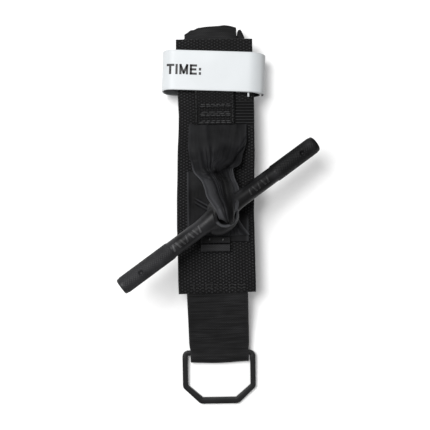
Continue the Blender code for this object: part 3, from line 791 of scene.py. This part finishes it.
def pleated_ribbon(name, stations, pleats, material, seed, lean, trim, hem_from=0.0):
    """A ribbon of constant cloth width gathered into pleats; stations are (x, y, z, width, roll, sag)."""
    hem, wrinkle, thin = 0.46, 0.25, 0.17
    rows = smooth_route([tuple(station) + (0.0,) * (6 - len(station)) for station in stations], 9)
    centre, width, roll = rows[:, :3], rows[:, 3], np.radians(rows[:, 4])
    tangent = unit(np.gradient(centre, axis=0))
    sideways = unit(np.array([1.0, 0, 0]) - 0.25 * tangent * tangent[:, :1])
    up = unit(np.cross(sideways, tangent))
    across = sideways * np.cos(roll)[:, None] + up * np.sin(roll)[:, None]
    up = unit(np.cross(across, tangent))
    cloth_at = spread(RIBBON_WIDTH, 0.17)
    share = cloth_at / RIBBON_WIDTH
    uneven = 0.11 * np.sin(2 * np.pi * share * 1.3 + seed)
    uneven += 0.05 * np.sin(2 * np.pi * share * 3.1 + 2.1 * seed)
    phase = 2 * np.pi * (pleats * (share + uneven)) + 0.7 * seed
    strength = 0.8 + 0.35 * np.sin(9.3 * share + 1.3 * seed)
    strength *= np.clip((0.5 - np.abs(share)) / 0.04, 0.25, 1)
    grid, ridge = np.zeros((len(rows), len(cloth_at), 3)), np.zeros((len(rows), len(cloth_at)))
    along = run_length(centre)
    for i in range(len(rows)):
        drift = 0.25 * noise.noise(Vector((along[i] * 0.09, seed * 3.3, 0.0)))
        angles = strength * np.sin(phase + drift * 2.2)
        lateral, raised, ridge[i] = pleat_section(width[i], angles, np.diff(cloth_at), lean, rows[i, 5])
        grid[i] = centre[i] + across[i] * lateral[:, None] + up[i] * raised[:, None]
    u, s = np.meshgrid(cloth_at, along)
    coarse = cloth_at[::4]
    soft = np.array([[noise.noise(Vector((a * 0.16, b * 0.11, seed))) for a in coarse] for b in along])
    soft = np.array([np.interp(cloth_at, coarse, row) for row in soft])
    gathered = rise(s, hem_from, 5.0)
    grid += normals_of(grid) * (wrinkle * soft * (0.35 + 0.65 * gathered))[..., None]
    grid = trim(grid)
    # painted highlight: the hem is paler, more so where the ribbon is gathered
    edge = bump_at(np.abs(u), RIBBON_WIDTH / 2 - 0.4, 0.6) * (0.15 + 0.85 * gathered)
    half = thin * round_edge(u, RIBBON_WIDTH, 0.3) + (hem - thin) * edge * round_edge(u, RIBBON_WIDTH, 0.3)
    pleated = rise(s, hem_from + 3.5, 7.0)
    # painted light: pleat ridges are painted paler and pleat valleys darker; the part before the pleats is
    # darker overall
    tone = np.clip(edge + pleated * (0.85 * ridge + 0.28) - 0.4, -1, 1)
    return cloth(name, grid, half, half, material, np.stack([u, s, tone], axis=-1))


def upper_stations():
    return [
        (-0.6, 45.7, 17.5, 28.6, 0), (-0.8, 41.0, 18.4, 28.6, 0), (-1.0, 37.3, 19.2, 28.6, 0),
        (-1.3, 33.5, 20.2, 28.1, 0), (-1.6, 29.8, 21.6, 26.4, 0), (-1.9, 27.2, 22.8, 24.8, 0),
        (-3.1, 25.0, 23.8, 21.2, 0), (-3.1, 22.8, 24.6, 19.4, 0), (-1.8, 20.4, 25.4, 17.2, 0),
        (-0.6, 18.2, 26.6, 16.4, 2), (0.3, 16.4, 28.2, 16.8, 4), (1.0, 14.2, 30.2, 16.8, 6),
        (1.5, 10.6, 33.6, 15.8, 8), (2.2, 7.8, 36.2, 14.0, 9, 0.3), (2.8, 5.3, 38.1, 12.0, 10, 0.3),
        (3.2, 3.4, 38.7, 10.8, 12, 0), (3.4, 1.7, 38.0, 9.8, 15, -1.0), (3.4, 0.5, 36.5, 8.6, 19, -2.2),
        (3.4, 0.0, 34.6, 8.1, 22, -2.8), (2.9, 0.5, 32.6, 7.8, 23, -2.8), (2.2, 1.2, 30.4, 7.6, 22, -2.5),
        (1.2, 2.1, 28.2, 7.6, 20, -2.0),
    ]


def lower_stations():
    return [
        (2.2, 1.0, 31.2, 7.6, 20, -2.0), (1.0, 2.6, 28.4, 7.8, 16, -1.0), (0.1, 4.2, 25.4, 9.0, 4),
        (0.1, 3.2, 22.9, 11.5, 0), (0.5, 0.2, 20.9, 15.0, 0), (0.6, -3.4, 19.7, 19.5, 0),
        (0.5, -6.8, 18.9, 24.5, 0), (0.4, -10.2, 18.2, 28.0, 0),
    ]


# ---------------------------------------------------------------- windlass

def eye_matrix():
    turn = Matrix.Rotation(math.radians(35.84), 4, "Z") @ Matrix.Rotation(math.radians(6.0), 4, "Y")
    return Matrix.Translation((0.0, 1.4, 30.8)) @ turn @ Matrix.Rotation(math.radians(30.0), 4, "X")


EYE_AT, HOLE, RIM, RIM_HALF = 1.5, 4.7, 6.2, 5.4
SHAFT = 3.95


def turned_rod(stations, sides):
    """Rings along X from (x, half width, half height), closed at both ends."""
    angle = np.linspace(0, 2 * np.pi, sides, endpoint=False)
    verts = [(x, w * math.cos(a), h * math.sin(a)) for x, w, h in stations for a in angle]
    return verts, capped(len(stations), sides, flip=True)


def eye_solids(material, middle):
    """The flared shaft, the wall and side swelling that join it, and the bore that is cut from it."""
    stations = []
    for x in np.linspace(-30.0, 33.0, 64):
        swell = 0.5 + 0.5 * math.cos(math.pi * min(abs(x) / 13.0, 1.0))
        stations.append((x, SHAFT + 1.5 * swell, SHAFT + 1.0 * swell))
    lip = (RIM - HOLE) / 2
    top = RIM_HALF - lip
    profile = arc((middle, top), lip, 0, 180, 10) + arc((middle, -top), lip, 180, 360, 10)
    turn = np.linspace(0, 2 * np.pi, 64, endpoint=False)
    wall = [(r * math.cos(t) + EYE_AT, r * math.sin(t), z) for t in turn for r, z in profile]
    bore = [(middle * math.cos(t) + EYE_AT, middle * math.sin(t), z) for z in (-12, 12) for t in turn]
    side = [(-0.6 + 8.4 * math.cos(t) * math.sin(p), -4.2 + 6.0 * math.sin(t) * math.sin(p),
             0.5 - 3.4 * math.cos(p)) for p in np.linspace(0.08, math.pi - 0.08, 18) for t in turn]
    made = [mesh_object("rod_shaft", *turned_rod(stations, 72), material),
            mesh_object("eye_side", side, capped(18, 64), material),
            mesh_object("eye_bore", bore, capped(2, 64), material),
            mesh_object("eye_wall", wall, quads(64, len(profile), wrap_rows=True, wrap_cols=True), material)]
    for solid in made:
        fix_facing(solid)
    return made


def eye_body(material):
    """The smooth middle of the windlass: a flared shaft with a thick-rimmed eye through it."""
    middle = (RIM + HOLE) / 2
    rod, *others = eye_solids(material, middle)
    for operation, other in zip(("UNION", "DIFFERENCE", "UNION"), others):
        cut = rod.modifiers.new(other.name, "BOOLEAN")
        cut.operation, cut.object, cut.solver = operation, other, "EXACT"
    blend = rod.modifiers.new("blend", "REMESH")
    blend.mode, blend.voxel_size = "VOXEL", 0.21 * MM
    ease = rod.modifiers.new("ease", "SMOOTH")
    ease.factor, ease.iterations = 0.5, 4
    bpy.context.view_layer.update()
    done = bpy.data.meshes.new_from_object(rod.evaluated_get(bpy.context.evaluated_depsgraph_get()))
    for helper in (rod, *others):
        bpy.data.objects.remove(helper, do_unlink=True)
    points = np.array([v.co for v in done.vertices]) / MM
    off = np.abs(np.hypot(points[:, 0] - EYE_AT, points[:, 1]) - middle)
    # painted highlight: points on top of the eye's lip are marked here, and the rod's look paints them paler
    lip_highlight = fall(off, 0.95, 0.4) * rise(points[:, 2], RIM_HALF - 1.3, 0.8)
    lip_highlight *= np.clip(np.where(points[:, 0] < EYE_AT, 1.0, 3.4) - points[:, 1], 0, 1)
    threads = np.stack([points[:, 0], points[:, 1], lip_highlight], 1)
    held = done.attributes.new("thread", "FLOAT_VECTOR", "POINT")
    held.data.foreach_set("vector", threads.astype(np.float32).ravel())
    done.vertices.foreach_set("co", (to_world(points, eye_matrix()) * MM).astype(np.float32).ravel())
    done.shade_smooth()
    done.name = "windlass_eye"
    body = bpy.data.objects.new("windlass_eye", done)
    bpy.context.scene.collection.objects.link(body)
    return body


def grip(name, start, end, material, dimple):
    """A knurled end of the rod, from `start` to its tip at `end`, with a shallow dimple near the tip."""
    way = 1 if end > start else -1
    length = abs(end - start)
    distance = np.arange(0, length - 0.9, 0.2)
    sides, starts, tip = 168, 22, 4.15
    angle = np.linspace(0, 2 * np.pi, sides, endpoint=False)
    pitch = 2 * np.pi * tip / starts
    d, a = np.meshgrid(distance, angle, indexing="ij")
    turns = [d / pitch + sense * a * starts / (2 * np.pi) for sense in (1, -1)]
    tooth = np.minimum(*(np.abs(turn - np.floor(turn) - 0.5) for turn in turns)) * 2
    fade = rise(d, 0.0, 0.8) * fall(d, length - 1.4, 0.6)
    round_off = 1 - np.clip(1 - (length - d) / 0.9, 0, 1) ** 2 * 0.2
    radius = (3.92 + 0.1 * np.clip(d / 0.5, 0, 1)) * round_off + 0.30 * np.clip(tooth * 1.25, 0, 0.85) * fade
    back, facing = dimple
    spot = np.minimum(np.abs(a - facing), 2 * np.pi - np.abs(a - facing)) * 4.1
    away = np.sqrt((length - d - back) ** 2 + spot ** 2)
    radius = radius - 0.8 * np.exp(-(away / 1.0) ** 4) + 0.15 * bump_at(away, 1.35, 0.3)
    verts = [np.stack([start + way * d, radius * np.cos(a), radius * np.sin(a)], axis=-1).reshape(-1, 3)]
    ends = ((0.45, 0.94), (0.15, 0.88), (0.0, 0.8), (0.0, 0.5), (0.0, 0.3), (0.35, 0.2), (0.75, 0.06))
    for inward, share in ends:
        place = np.full(sides, end - way * inward)
        verts.append(np.stack([place, tip * share * np.cos(angle), tip * share * np.sin(angle)], 1))
    faces = capped(len(distance) + len(ends), sides)
    made = mesh_object(name, to_world(np.concatenate(verts), eye_matrix()), faces, material)
    fix_facing(made)
    return made


def mark_surface(place, rows, cols, height):
    """A patch over the shaft: place is (x, tilt, length, facing), and height(p, q) is above the shaft."""
    x, tilt, long, facing = place
    points = []
    for i in range(rows):
        for j in range(cols):
            p, q = 2 * i / (rows - 1) - 1, 2 * j / (cols - 1) - 1
            around = facing + (p * long / 2) / SHAFT
            radius = SHAFT + height(p, q)
            at = x + q * 0.55 + tilt * p * long / 2
            points.append((at, radius * math.cos(around), radius * math.sin(around)))
    return points


def mark_top(p, q):
    return 0.5 * (max(1 - p ** 4, 0) * max(1 - q ** 4, 0)) ** 0.5 - 0.08


def mark_under(p, q):
    return -0.3


def raised_marks(name, places, material):
    """Plain slanted bars that stand slightly proud of the shaft, on the side that faces up."""
    up = np.array(eye_matrix().to_3x3().inverted()) @ np.array([0.0, 0.0, 1.0])
    facing = math.atan2(up[2], up[1])
    rows, cols = 11, 7
    verts, faces = [], []
    for place in places:
        faces += closed_faces(rows, cols, len(verts))
        for height in (mark_top, mark_under):
            verts += mark_surface((*place, facing), rows, cols, height)
    made = mesh_object(name, to_world(verts, eye_matrix()), faces, material)
    fix_facing(made)
    return made


# ---------------------------------------------------------------- writing band

BAND_AT, BAND_YAW = (-2.4, 71.5), math.radians(-2.4)
BAND_WIDTH, BAND_THICK, BAND_SPAN, BAND_DEPTH, BAND_HIGH = 19.6, 0.8, 25.3, 8.0, 9.65
BAND_MID = BAND_HIGH + BAND_THICK / 2
BAND_TOP = BAND_MID + BAND_HIGH
BAND_LAP, BAND_STEPS = 1.7, 28
FLAP_X, LAP_X = 13.5, 11.3
PATCH_THICK = 0.2


def band_point(share, inset=0.0, depth=BAND_DEPTH, power=1.0):
    turn = math.pi * (0.5 - share)
    c, s = math.cos(turn), math.sin(turn)
    wide = (depth - inset) * abs(c) ** power
    high = (BAND_HIGH - inset) * math.copysign(abs(s) ** power, s)
    return (BAND_SPAN - depth + wide, BAND_MID + high)


def on_band(x, y):
    """From the band's own frame to the scene's."""
    return spun(x, y, BAND_YAW, BAND_AT)


def band_sheet(name, path, width, thickness, material, relief=None, step=0.8):
    """Tape along an (x, z) path in the band's own frame, turned and moved to its place."""
    path = np.asarray(path, float)
    v, s = np.meshgrid(spread(width, step, (0.0, 0.06, 0.16, 0.34)), run_length(path))
    x, z = (np.broadcast_to(path[:, k:k + 1], v.shape) for k in (0, 1))
    grid = np.stack([*on_band(x, -v), z], axis=-1)
    half = thickness / 2 * round_edge(v, width, 0.3)
    top = half if relief is None else half + relief(v, s)
    # painted shade: the face darkens over the last few mm of the right end, where the band turns down
    edge = np.clip(1 - (width / 2 - np.abs(v)) / 0.5, 0, 1) + 4.0 * rise(x, BAND_SPAN - 2.6, 1.8)
    # painted shade inside the loop: the back face gets the dark back colour, lifted halfway at the left end
    dark = -1.0 + 0.5 * fall(x, -17.0, 4.0)
    face, back = np.stack([v, s, edge], axis=-1), np.stack([v, s, dark], axis=-1)
    middle = grid.shape[0] // 2, grid.shape[1] // 2
    outward = grid[middle] - np.array([*BAND_AT, BAND_MID])
    if (normals_of(grid)[middle] * outward).sum() < 0:
        face, back = back, face
    return cloth(name, grid, top, half, material, face, back)


def band_side(inset, share):
    """The band's right side from the top down, as far as `share` of the way round."""
    return [band_point(i / BAND_STEPS, inset) for i in range(int(BAND_STEPS * share))]


def make_band(tape, loops, ink):
    left = [band_point(i / BAND_STEPS, 0.0, 6.5, 0.8) for i in range(BAND_STEPS, -1, -1)]
    outer = [(2.0, BAND_THICK / 2)] + [(-x, z) for x, z in left] + [(FLAP_X, BAND_TOP)] + band_side(0.0, 0.66)
    outer = subdivide(outer, 1.0)
    inner_side = band_side(BAND_LAP, 0.72)
    foot = smooth_route([inner_side[-1], band_point(0.86, BAND_LAP / 2), band_point(0.97),
                         (BAND_SPAN - BAND_DEPTH - 4, BAND_THICK / 2)], 5)
    inner = [(LAP_X, BAND_TOP - BAND_LAP)] + inner_side[:-1] + list(foot)
    inner = subdivide(inner + [(2.5, BAND_THICK / 2)], 1.0)
    for name, path, node, body in (("band_outer", outer, "band_flap", None),
                                   ("band_inner", inner, "writing_band", "root")):
        piece = band_sheet(name, path, BAND_WIDTH, BAND_THICK, tape)
        declare(piece, [node], body, "band", (BAND_WIDTH, run_length(path)[-1]), "folded", ["base_webbing"])
    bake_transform(bpy.data.objects["band_outer"])
    path = [(y, 17.55 + 0.05 * k) for k, y in enumerate(np.linspace(58.9, 64.0, 6))]
    tab = strap("band_tab", path, 0.9, 0.4, tape, 14.6, step=0.4)
    attach(tab, "root", "band")
    make_patches(loops)
    make_lettering(outer, ink)


def tufts(v, s):
    return 0.1 * np.abs(np.sin(v * 5.2)) * np.abs(np.sin(s * 5.2)) * (0.7 + 0.3 * np.sin(v * 31 + s * 17))


def make_patches(material):
    """The hook patch under the flap, and the loop patch that it grips."""
    inset = (BAND_THICK + 0.25) / 2 + 0.12
    width = BAND_WIDTH - 2
    hook = [(FLAP_X + 1.8, BAND_TOP - inset)] + band_side(inset, 0.6)
    loop = [(LAP_X + 0.3, BAND_TOP - BAND_LAP + inset)] + band_side(BAND_LAP - inset, 0.6)
    for name, path, body, node in (("band_hooks", hook, "band_flap", "band_hook_patch"),
                                   ("band_loops", loop, "root", "band_loop_patch")):
        patch = band_sheet(name, subdivide(path, 0.3), width, PATCH_THICK, material, tufts, 0.3)
        declare(patch, [node], body, "fastener", (width, run_length(path)[-1]), "laid", ["band_outer"])


LABEL_X, LABEL_Y = -22.6, -1.75
LETTERS = {
    "T": ((0.0, 1.0, 0.72, 1.0), (0.36, 0.0, 0.36, 1.0)),
    "I": ((0.0, 0.0, 0.0, 1.0),),
    "M": ((0.0, 0.0, 0.0, 1.0), (0.0, 1.0, 0.4, 0.08), (0.4, 0.08, 0.8, 1.0), (0.8, 1.0, 0.8, 0.0)),
    "E": ((0.0, 0.0, 0.0, 1.0), (0.0, 1.0, 0.62, 1.0), (0.0, 0.52, 0.55, 0.52), (0.0, 0.0, 0.62, 0.0)),
    ":": ((0.0, 0.0, 0.0, 0.08), (0.0, 0.52, 0.0, 0.60)),
}


def make_lettering(path, material):
    """The plain field label on the tape, printed a hair above its surface."""
    path = np.asarray(path, float)
    s = run_length(path)
    corner = np.argmax((path[:, 0] > -12.0) & (path[:, 1] > BAND_MID))
    origin = s[corner] - path[corner, 0]
    high, weight = 4.0, 1.1
    verts, faces = [], []
    offset = 0.0
    for letter, advance in (("T", 1.12), ("I", 0.48), ("M", 1.27), ("E", 1.12), (":", 0.2)):
        for x0, y0, x1, y1 in LETTERS[letter]:
            a, b = np.array([offset + x0, y0]) * high, np.array([offset + x1, y1]) * high
            direction = (b - a) / max(np.linalg.norm(b - a), 1e-6)
            side = np.array([-direction[1], direction[0]]) * weight / 2
            a, b = a - direction * weight / 2 * 0.9, b + direction * weight / 2 * 0.9
            count = max(2, int(np.linalg.norm(b - a) / 0.4))
            faces += quads(count + 1, 2, len(verts))
            verts += [letter_point(a + (b - a) * i / count + side * sign, origin, s, path)
                      for i in range(count + 1) for sign in (-1, 1)]
        offset += advance
    ink = mesh_object("band_lettering", verts, faces, material, smooth=False)
    thick = ink.modifiers.new("ink", "SOLIDIFY")
    thick.thickness, thick.offset = 0.03 * MM, 0.0
    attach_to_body(ink, "root")


def letter_point(spot, origin, s, path):
    """A point of the lettering, from its own flat place to the tape's outer face."""
    along = origin + LABEL_X + spot[0]
    x, z = (np.interp(along, s, path[:, k]) for k in (0, 1))
    dx, dz = (np.interp(along + 0.3, s, path[:, k]) - np.interp(along - 0.3, s, path[:, k]) for k in (0, 1))
    out = (BAND_THICK / 2 + 0.03) / math.hypot(dx, dz)
    return (*on_band(x - dz * out, spot[1] + LABEL_Y), z + dx * out)


# ---------------------------------------------------------------- everything together

def anchor_warp(grid, u):
    """The sewn end is pulled down by its stitches."""
    y = grid[..., 1]
    sewn = fall(y, 56.0, 2.0)
    grid[..., 2] += -0.28 * sewn + 0.14 * sewn * np.sin(y / 1.45 * 2 * np.pi)
    grid[..., 0] += 0.15 * wander(y[:, :1], 9.2, 0.1)
    return grid


def upper_trim(grid):
    """A crease crosses the ribbon above its neck, with small folds below it and two furrows above it."""
    x, y = grid[..., 0], grid[..., 1]
    slant = y - 0.05 * (x + 3.0) ** 2 - 0.12 * (x + 3.0)
    crease = bump_at(slant, 22.8, 1.3) - 0.8 * bump_at(slant, 20.4, 0.8)
    grid[..., 2] += crease * rise(x, -9.0, 4.0)
    grid[..., 0] -= 0.5 * rise(x, 3.0, 5.0) * bump_at(y, 30.5, 2.6)
    folds = np.sin(2.1 * y + 0.5 * x + 1.2 * np.sin(0.7 * x)) * bump_at(y, 18.4, 2.4)
    grid[..., 2] += 0.3 * folds
    for course, side in (((-0.4, -4.3, -5.5), 1), ((2.4, 5.3, 7.1), -1)):
        line = side * (x - np.interp(y, (26.0, 32.0, 45.0), course))
        furrow = 0.22 * bump_at(line, -1.2, 1.5) - 0.1 * bump_at(line, 0.8, 1.6)
        grid[..., 2] += furrow * rise(y, 25.0, 3.0)
    return grid


def lower_trim(grid):
    """The far end of the lower run slants a little."""
    y = grid[..., 1]
    grid[..., 1] += fall(y, -6.0, 4.0) * (0.09 * (grid[..., 0] + 1.0))
    return grid


def flat_ribbon(material):
    """The ribbon's flat run under the rod, with two short ridges pulled across its left half; its tone is
    darker overall, with painted shade on its right part and painted highlights on the ridges.
    """
    width = FLAT_RUN[0]
    u, v = np.meshgrid(spread(width, 0.5), np.linspace(-12.4, 22.4, 120))
    x = u - 1.1
    line = v - 4.2 + 0.58 * (x + 4.0)
    within = rise(x, -13.0, 2.5) * fall(x, 1.5, 3.0)
    ridges = (0.85 * bump_at(line, 0.0, 0.5) + 0.65 * bump_at(line, -1.9, 0.55)) * within
    ripple = 0.16 * wander(x + v * 0.35, 4.4, 0.12)
    x = np.where(x > 0, x * (1 - 0.5 * rise(v, 1.0, 4.0)), x)
    z = 17.36 + ridges + ripple + 0.2 * bump_at(np.abs(u), 14.6, 0.7) - 0.6 * rise(v, 16.0, 5.0)
    edge = bump_at(np.abs(u), 14.7, 0.5) * 0.5
    # painted shade on the right part, beside the neck and under the rod
    shaded = rise(x, 3.0, 4.0) * rise(v, -2.0, 4.0)
    edge = (edge - 0.42) * (1 - shaded) - 0.8 * shaded
    # painted highlights on the two ridges, with painted shade between them
    lit = 0.7 * bump_at(line, 0.1, 0.5) + 0.5 * bump_at(line, -1.8, 0.5) - 0.5 * bump_at(line, -0.9, 0.4)
    edge += within * lit
    half = (0.16 + 0.05 * bump_at(np.abs(u), 14.7, 0.5)) * round_edge(u, width, 0.3)
    grid, threads = np.stack([x, v, z], axis=-1), np.stack([u, v, edge], axis=-1)
    return cloth("ribbon_flat", grid, half, half, material, threads)


def make_windlass(material, pale_look):
    """The rod's middle, its two grips and the raised marks, all on one body."""
    places = [(-27.6 + 2.5 * k, 0.28 * (1 if k % 3 else -1), 3.6) for k in range(7)]
    places += [(17.2 + 2.6 * k, 0.28 * (1 if k % 2 else -1), 3.6) for k in range(5)]
    attach(eye_body(material), "windlass", "rod", "windlass")
    for piece in (grip("windlass_grip_left", -28.9, -58.2, material, (11.5, 1.05)),
                  grip("windlass_grip_right", 32.0, 57.5, material, (9.0, 1.05)),
                  # the marks' paler look is a painted highlight on their raised strokes
                  raised_marks("windlass_marks", places, pale_look)):
        attach(piece, "windlass", "rod")


def make_lower_anchor(pale_look, fine, thread):
    """Two short strips sewn across the lower end of the ribbon, one a little proud of the other."""
    width, declared = 14.4, 10.0
    for name, low, high, z, thick, material, nodes in (
            ("lower_anchor_front", -17.0, -13.55, 18.9, 1.1, pale_look, ["lower_anchor"]),
            ("lower_anchor_back", -13.05, -9.9, 18.7, 0.9, fine, [])):
        long = high - low
        path = [(y, z + 0.1 * math.sin((y - low) / long * math.pi)) for y in np.linspace(low, high, 9)]
        strip = strap(name, path, width, thick, material, -2.5, step=0.6)
        declare(strip, nodes, "root", "webbing", (width, declared), "laid", ["base_cloth"],
                area=width * MM * long * MM)
    runs = []
    for x, y in ((-5.3, -11.0), (1.2, -11.3)):
        runs.append([(x + 0.15 * math.sin(7 * d), y + d, 19.25 + 0.4 * math.sin((d / 1.1 + 0.5) * math.pi))
                     for d in np.linspace(-0.55, 0.55, 7)])
    attach(tubes("lower_anchor_threads", runs, 0.22, thread), "root", "thread", "lower_anchor_stitch")


def stitched(name, lines, radius, thread, *nodes):
    """One object of stitches; a line is (first end, last end, pitch, height)."""
    runs = [run for line in lines for run in stitch_line(*line)]
    attach(tubes(name, runs, radius, thread), "root", "thread", *nodes)


def make_stitches(thread, dark_thread):
    lines = []
    for k, y in enumerate((46.1, 47.0, 49.6, 50.4, 51.3, 54.3, 55.1)):
        shift = 1.3 * math.sin(5.1 * k)
        ends = (-10.0 + abs(shift), y, 18.95), (6.3 - abs(shift) / 2, y + 0.1, 18.95)
        lines.append((*ends, 2.9 + 0.4 * shift, 0.24))
    stitched("upper_anchor_threads", lines, 0.24, thread, "upper_anchor_stitch")
    lines = [((x, 46.2, 18.9), (x, 76.0, 18.95), 2.3, 0.2) for x in (-11.2, 6.6)]
    stitched("upper_anchor_side_threads", lines, 0.22, dark_thread)
    lines = [((-15.0, y, 16.75), (12.5, y, 16.75), 2.2, 0.2) for y in (-33.6, -35.2)]
    lines += [((-14.0, y, 11.72), (11.0, y, 11.72), 2.2, -0.2) for y in (-28.0, -33.6)]
    stitched("ring_strap_threads", lines, 0.22, dark_thread, "ring_strap_stitch")
    lines = [((-12.0, y, 8.2), (8.0, y, 8.2), 2.2, 0.2) for y in (-23.4, -25.0)]
    stitched("buckle_strap_threads", lines, 0.2, thread, "buckle_strap_stitch")


BASE_SIZE, ANCHOR_SIZE, FLAT_RUN = (38.1, 125.3), (19.7, 31.7), (30.2, 34.8)
STRAP_WIDTH, BUCKLE_STRAP_WIDTH = 30.5, 28.5
UNDER_X = -2.1


def make_webbing(webbing, narrow):
    base = woven_slab("base_cloth", (-21.35, 16.75), (-37.3, 88.0), BASE_MID, BASE_THICK, webbing,
                      (1.45, 1.5), 0.42, base_warp, pulled_ribs)
    declare(base, ["base_webbing"], "root", "webbing", BASE_SIZE, "laid", ["main_strap"])
    anchor = woven_slab("upper_anchor_cloth", (-12.1, 7.6), (45.3, 77.0), 18.2, 1.5, narrow, (1.3, 1.45),
                        0.36, anchor_warp)
    declare(anchor, ["upper_anchor"], "root", "webbing", ANCHOR_SIZE, "laid", ["base_cloth"])


def make_straps(fine):
    path = main_strap_path()
    piece = strap("main_strap_cloth", path, STRAP_WIDTH, 1.1, fine, UNDER_X, step=0.4, warp=main_strap_warp)
    declare(piece, ["main_strap"], "root", "strap", (STRAP_WIDTH, run_length(path)[-1]), "folded", ["floor"])
    path = buckle_strap_path()
    piece = strap("buckle_strap_cloth", path, BUCKLE_STRAP_WIDTH, 1.0, fine, UNDER_X)
    declare(piece, ["buckle_strap"], "root", "strap", (BUCKLE_STRAP_WIDTH, run_length(path)[-1]), "folded",
            ["slide_buckle"])
    path = ring_strap_path()
    piece = strap("ring_strap_cloth", path, STRAP_WIDTH, 1.0, fine, RING_STRAP_X, RING_STRAP_YAW,
                  (RING_STRAP_X, LIFT[0]), step=0.8, warp=ring_strap_warp)
    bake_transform(piece)
    declare(piece, ["ring_strap", "ring_strap_sewn_top", "ring_strap_sewn_under"], None, "strap",
            (STRAP_WIDTH, run_length(path)[-1]), "folded", ["ring_bar"])


def make_ribbon(satin):
    flat_run = flat_ribbon(satin)
    declare(flat_run, ["ribbon_flat_run"], "root", "ribbon", FLAT_RUN, "laid", ["base_cloth"])
    upper = pleated_ribbon("ribbon_upper", upper_stations(), 5.3, satin, 1.7, 0.15, upper_trim, hem_from=20.0)
    lower = pleated_ribbon("ribbon_lower", lower_stations(), 5.0, satin, 4.2, 0.2, lower_trim)
    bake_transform(upper)
    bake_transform(lower)
    for piece, nodes, length in ((upper, ["ribbon_upper_run", "ribbon_throat"], 62),
                                 (lower, ["ribbon_lower_run"], 27)):
        declare(piece, nodes, None, "ribbon", (RIBBON_WIDTH, length), "gathered", ["windlass_eye"])


def main():
    make_camera()
    make_studio()
    make_floor()
    fine = strap_look("strap", (0.0014, 0.0014, 0.0015), (0.02, 0.02, 0.021))
    thread = thread_look("thread", (0.012, 0.012, 0.013), (0.06, 0.06, 0.062))
    make_webbing(webbing_look("webbing", (0.0006, 0.0006, 0.0007), (0.056, 0.056, 0.0586)),
                 webbing_look("webbing_narrow", (0.0006, 0.0006, 0.0007), (0.032, 0.032, 0.034)))
    make_straps(fine)
    make_ring(moulded_look("ring", (0.0025, 0.0025, 0.0028), (0.006, 0.006, 0.0068)))
    make_ribbon(ribbon_look("ribbon", (0.0011, 0.0011, 0.0014), (0.042, 0.0426, 0.0462)))
    # both rod looks carry painted light; the marks' paler colours are a painted highlight on their raised
    # strokes
    rod = hard_look("rod", (0.0025, 0.0025, 0.0028), (0.022, 0.022, 0.0238), 0.42, painted_light=0.45, specular=0.17)
    make_windlass(rod, hard_look("rod_marks_highlight", (0.012, 0.012, 0.0125), (0.085, 0.085, 0.089), 0.42, painted_light=0.55))
    make_lower_anchor(strap_look("strap_worn", (0.007, 0.007, 0.0074), (0.03, 0.03, 0.0315)), fine,
                      thread_look("thread_pale", (0.06, 0.06, 0.061), (0.22, 0.22, 0.223)))
    make_stitches(thread, thread_look("thread_dark", (0.004, 0.004, 0.0043), (0.016, 0.016, 0.0165)))
    make_band(tape_look("tape", (0.24, 0.25, 0.255), (0.6, 0.625, 0.64)),
              tape_look("hook_and_loop", (0.5, 0.52, 0.53), (0.68, 0.69, 0.69)), ink_look("ink"))
    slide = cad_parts["slide_buckle"]
    slide.data.materials.clear()
    slide.data.materials.append(hard_look("slide_steel", (0.05, 0.05, 0.052), (0.08, 0.08, 0.082), 0.4, 0.7))


main()
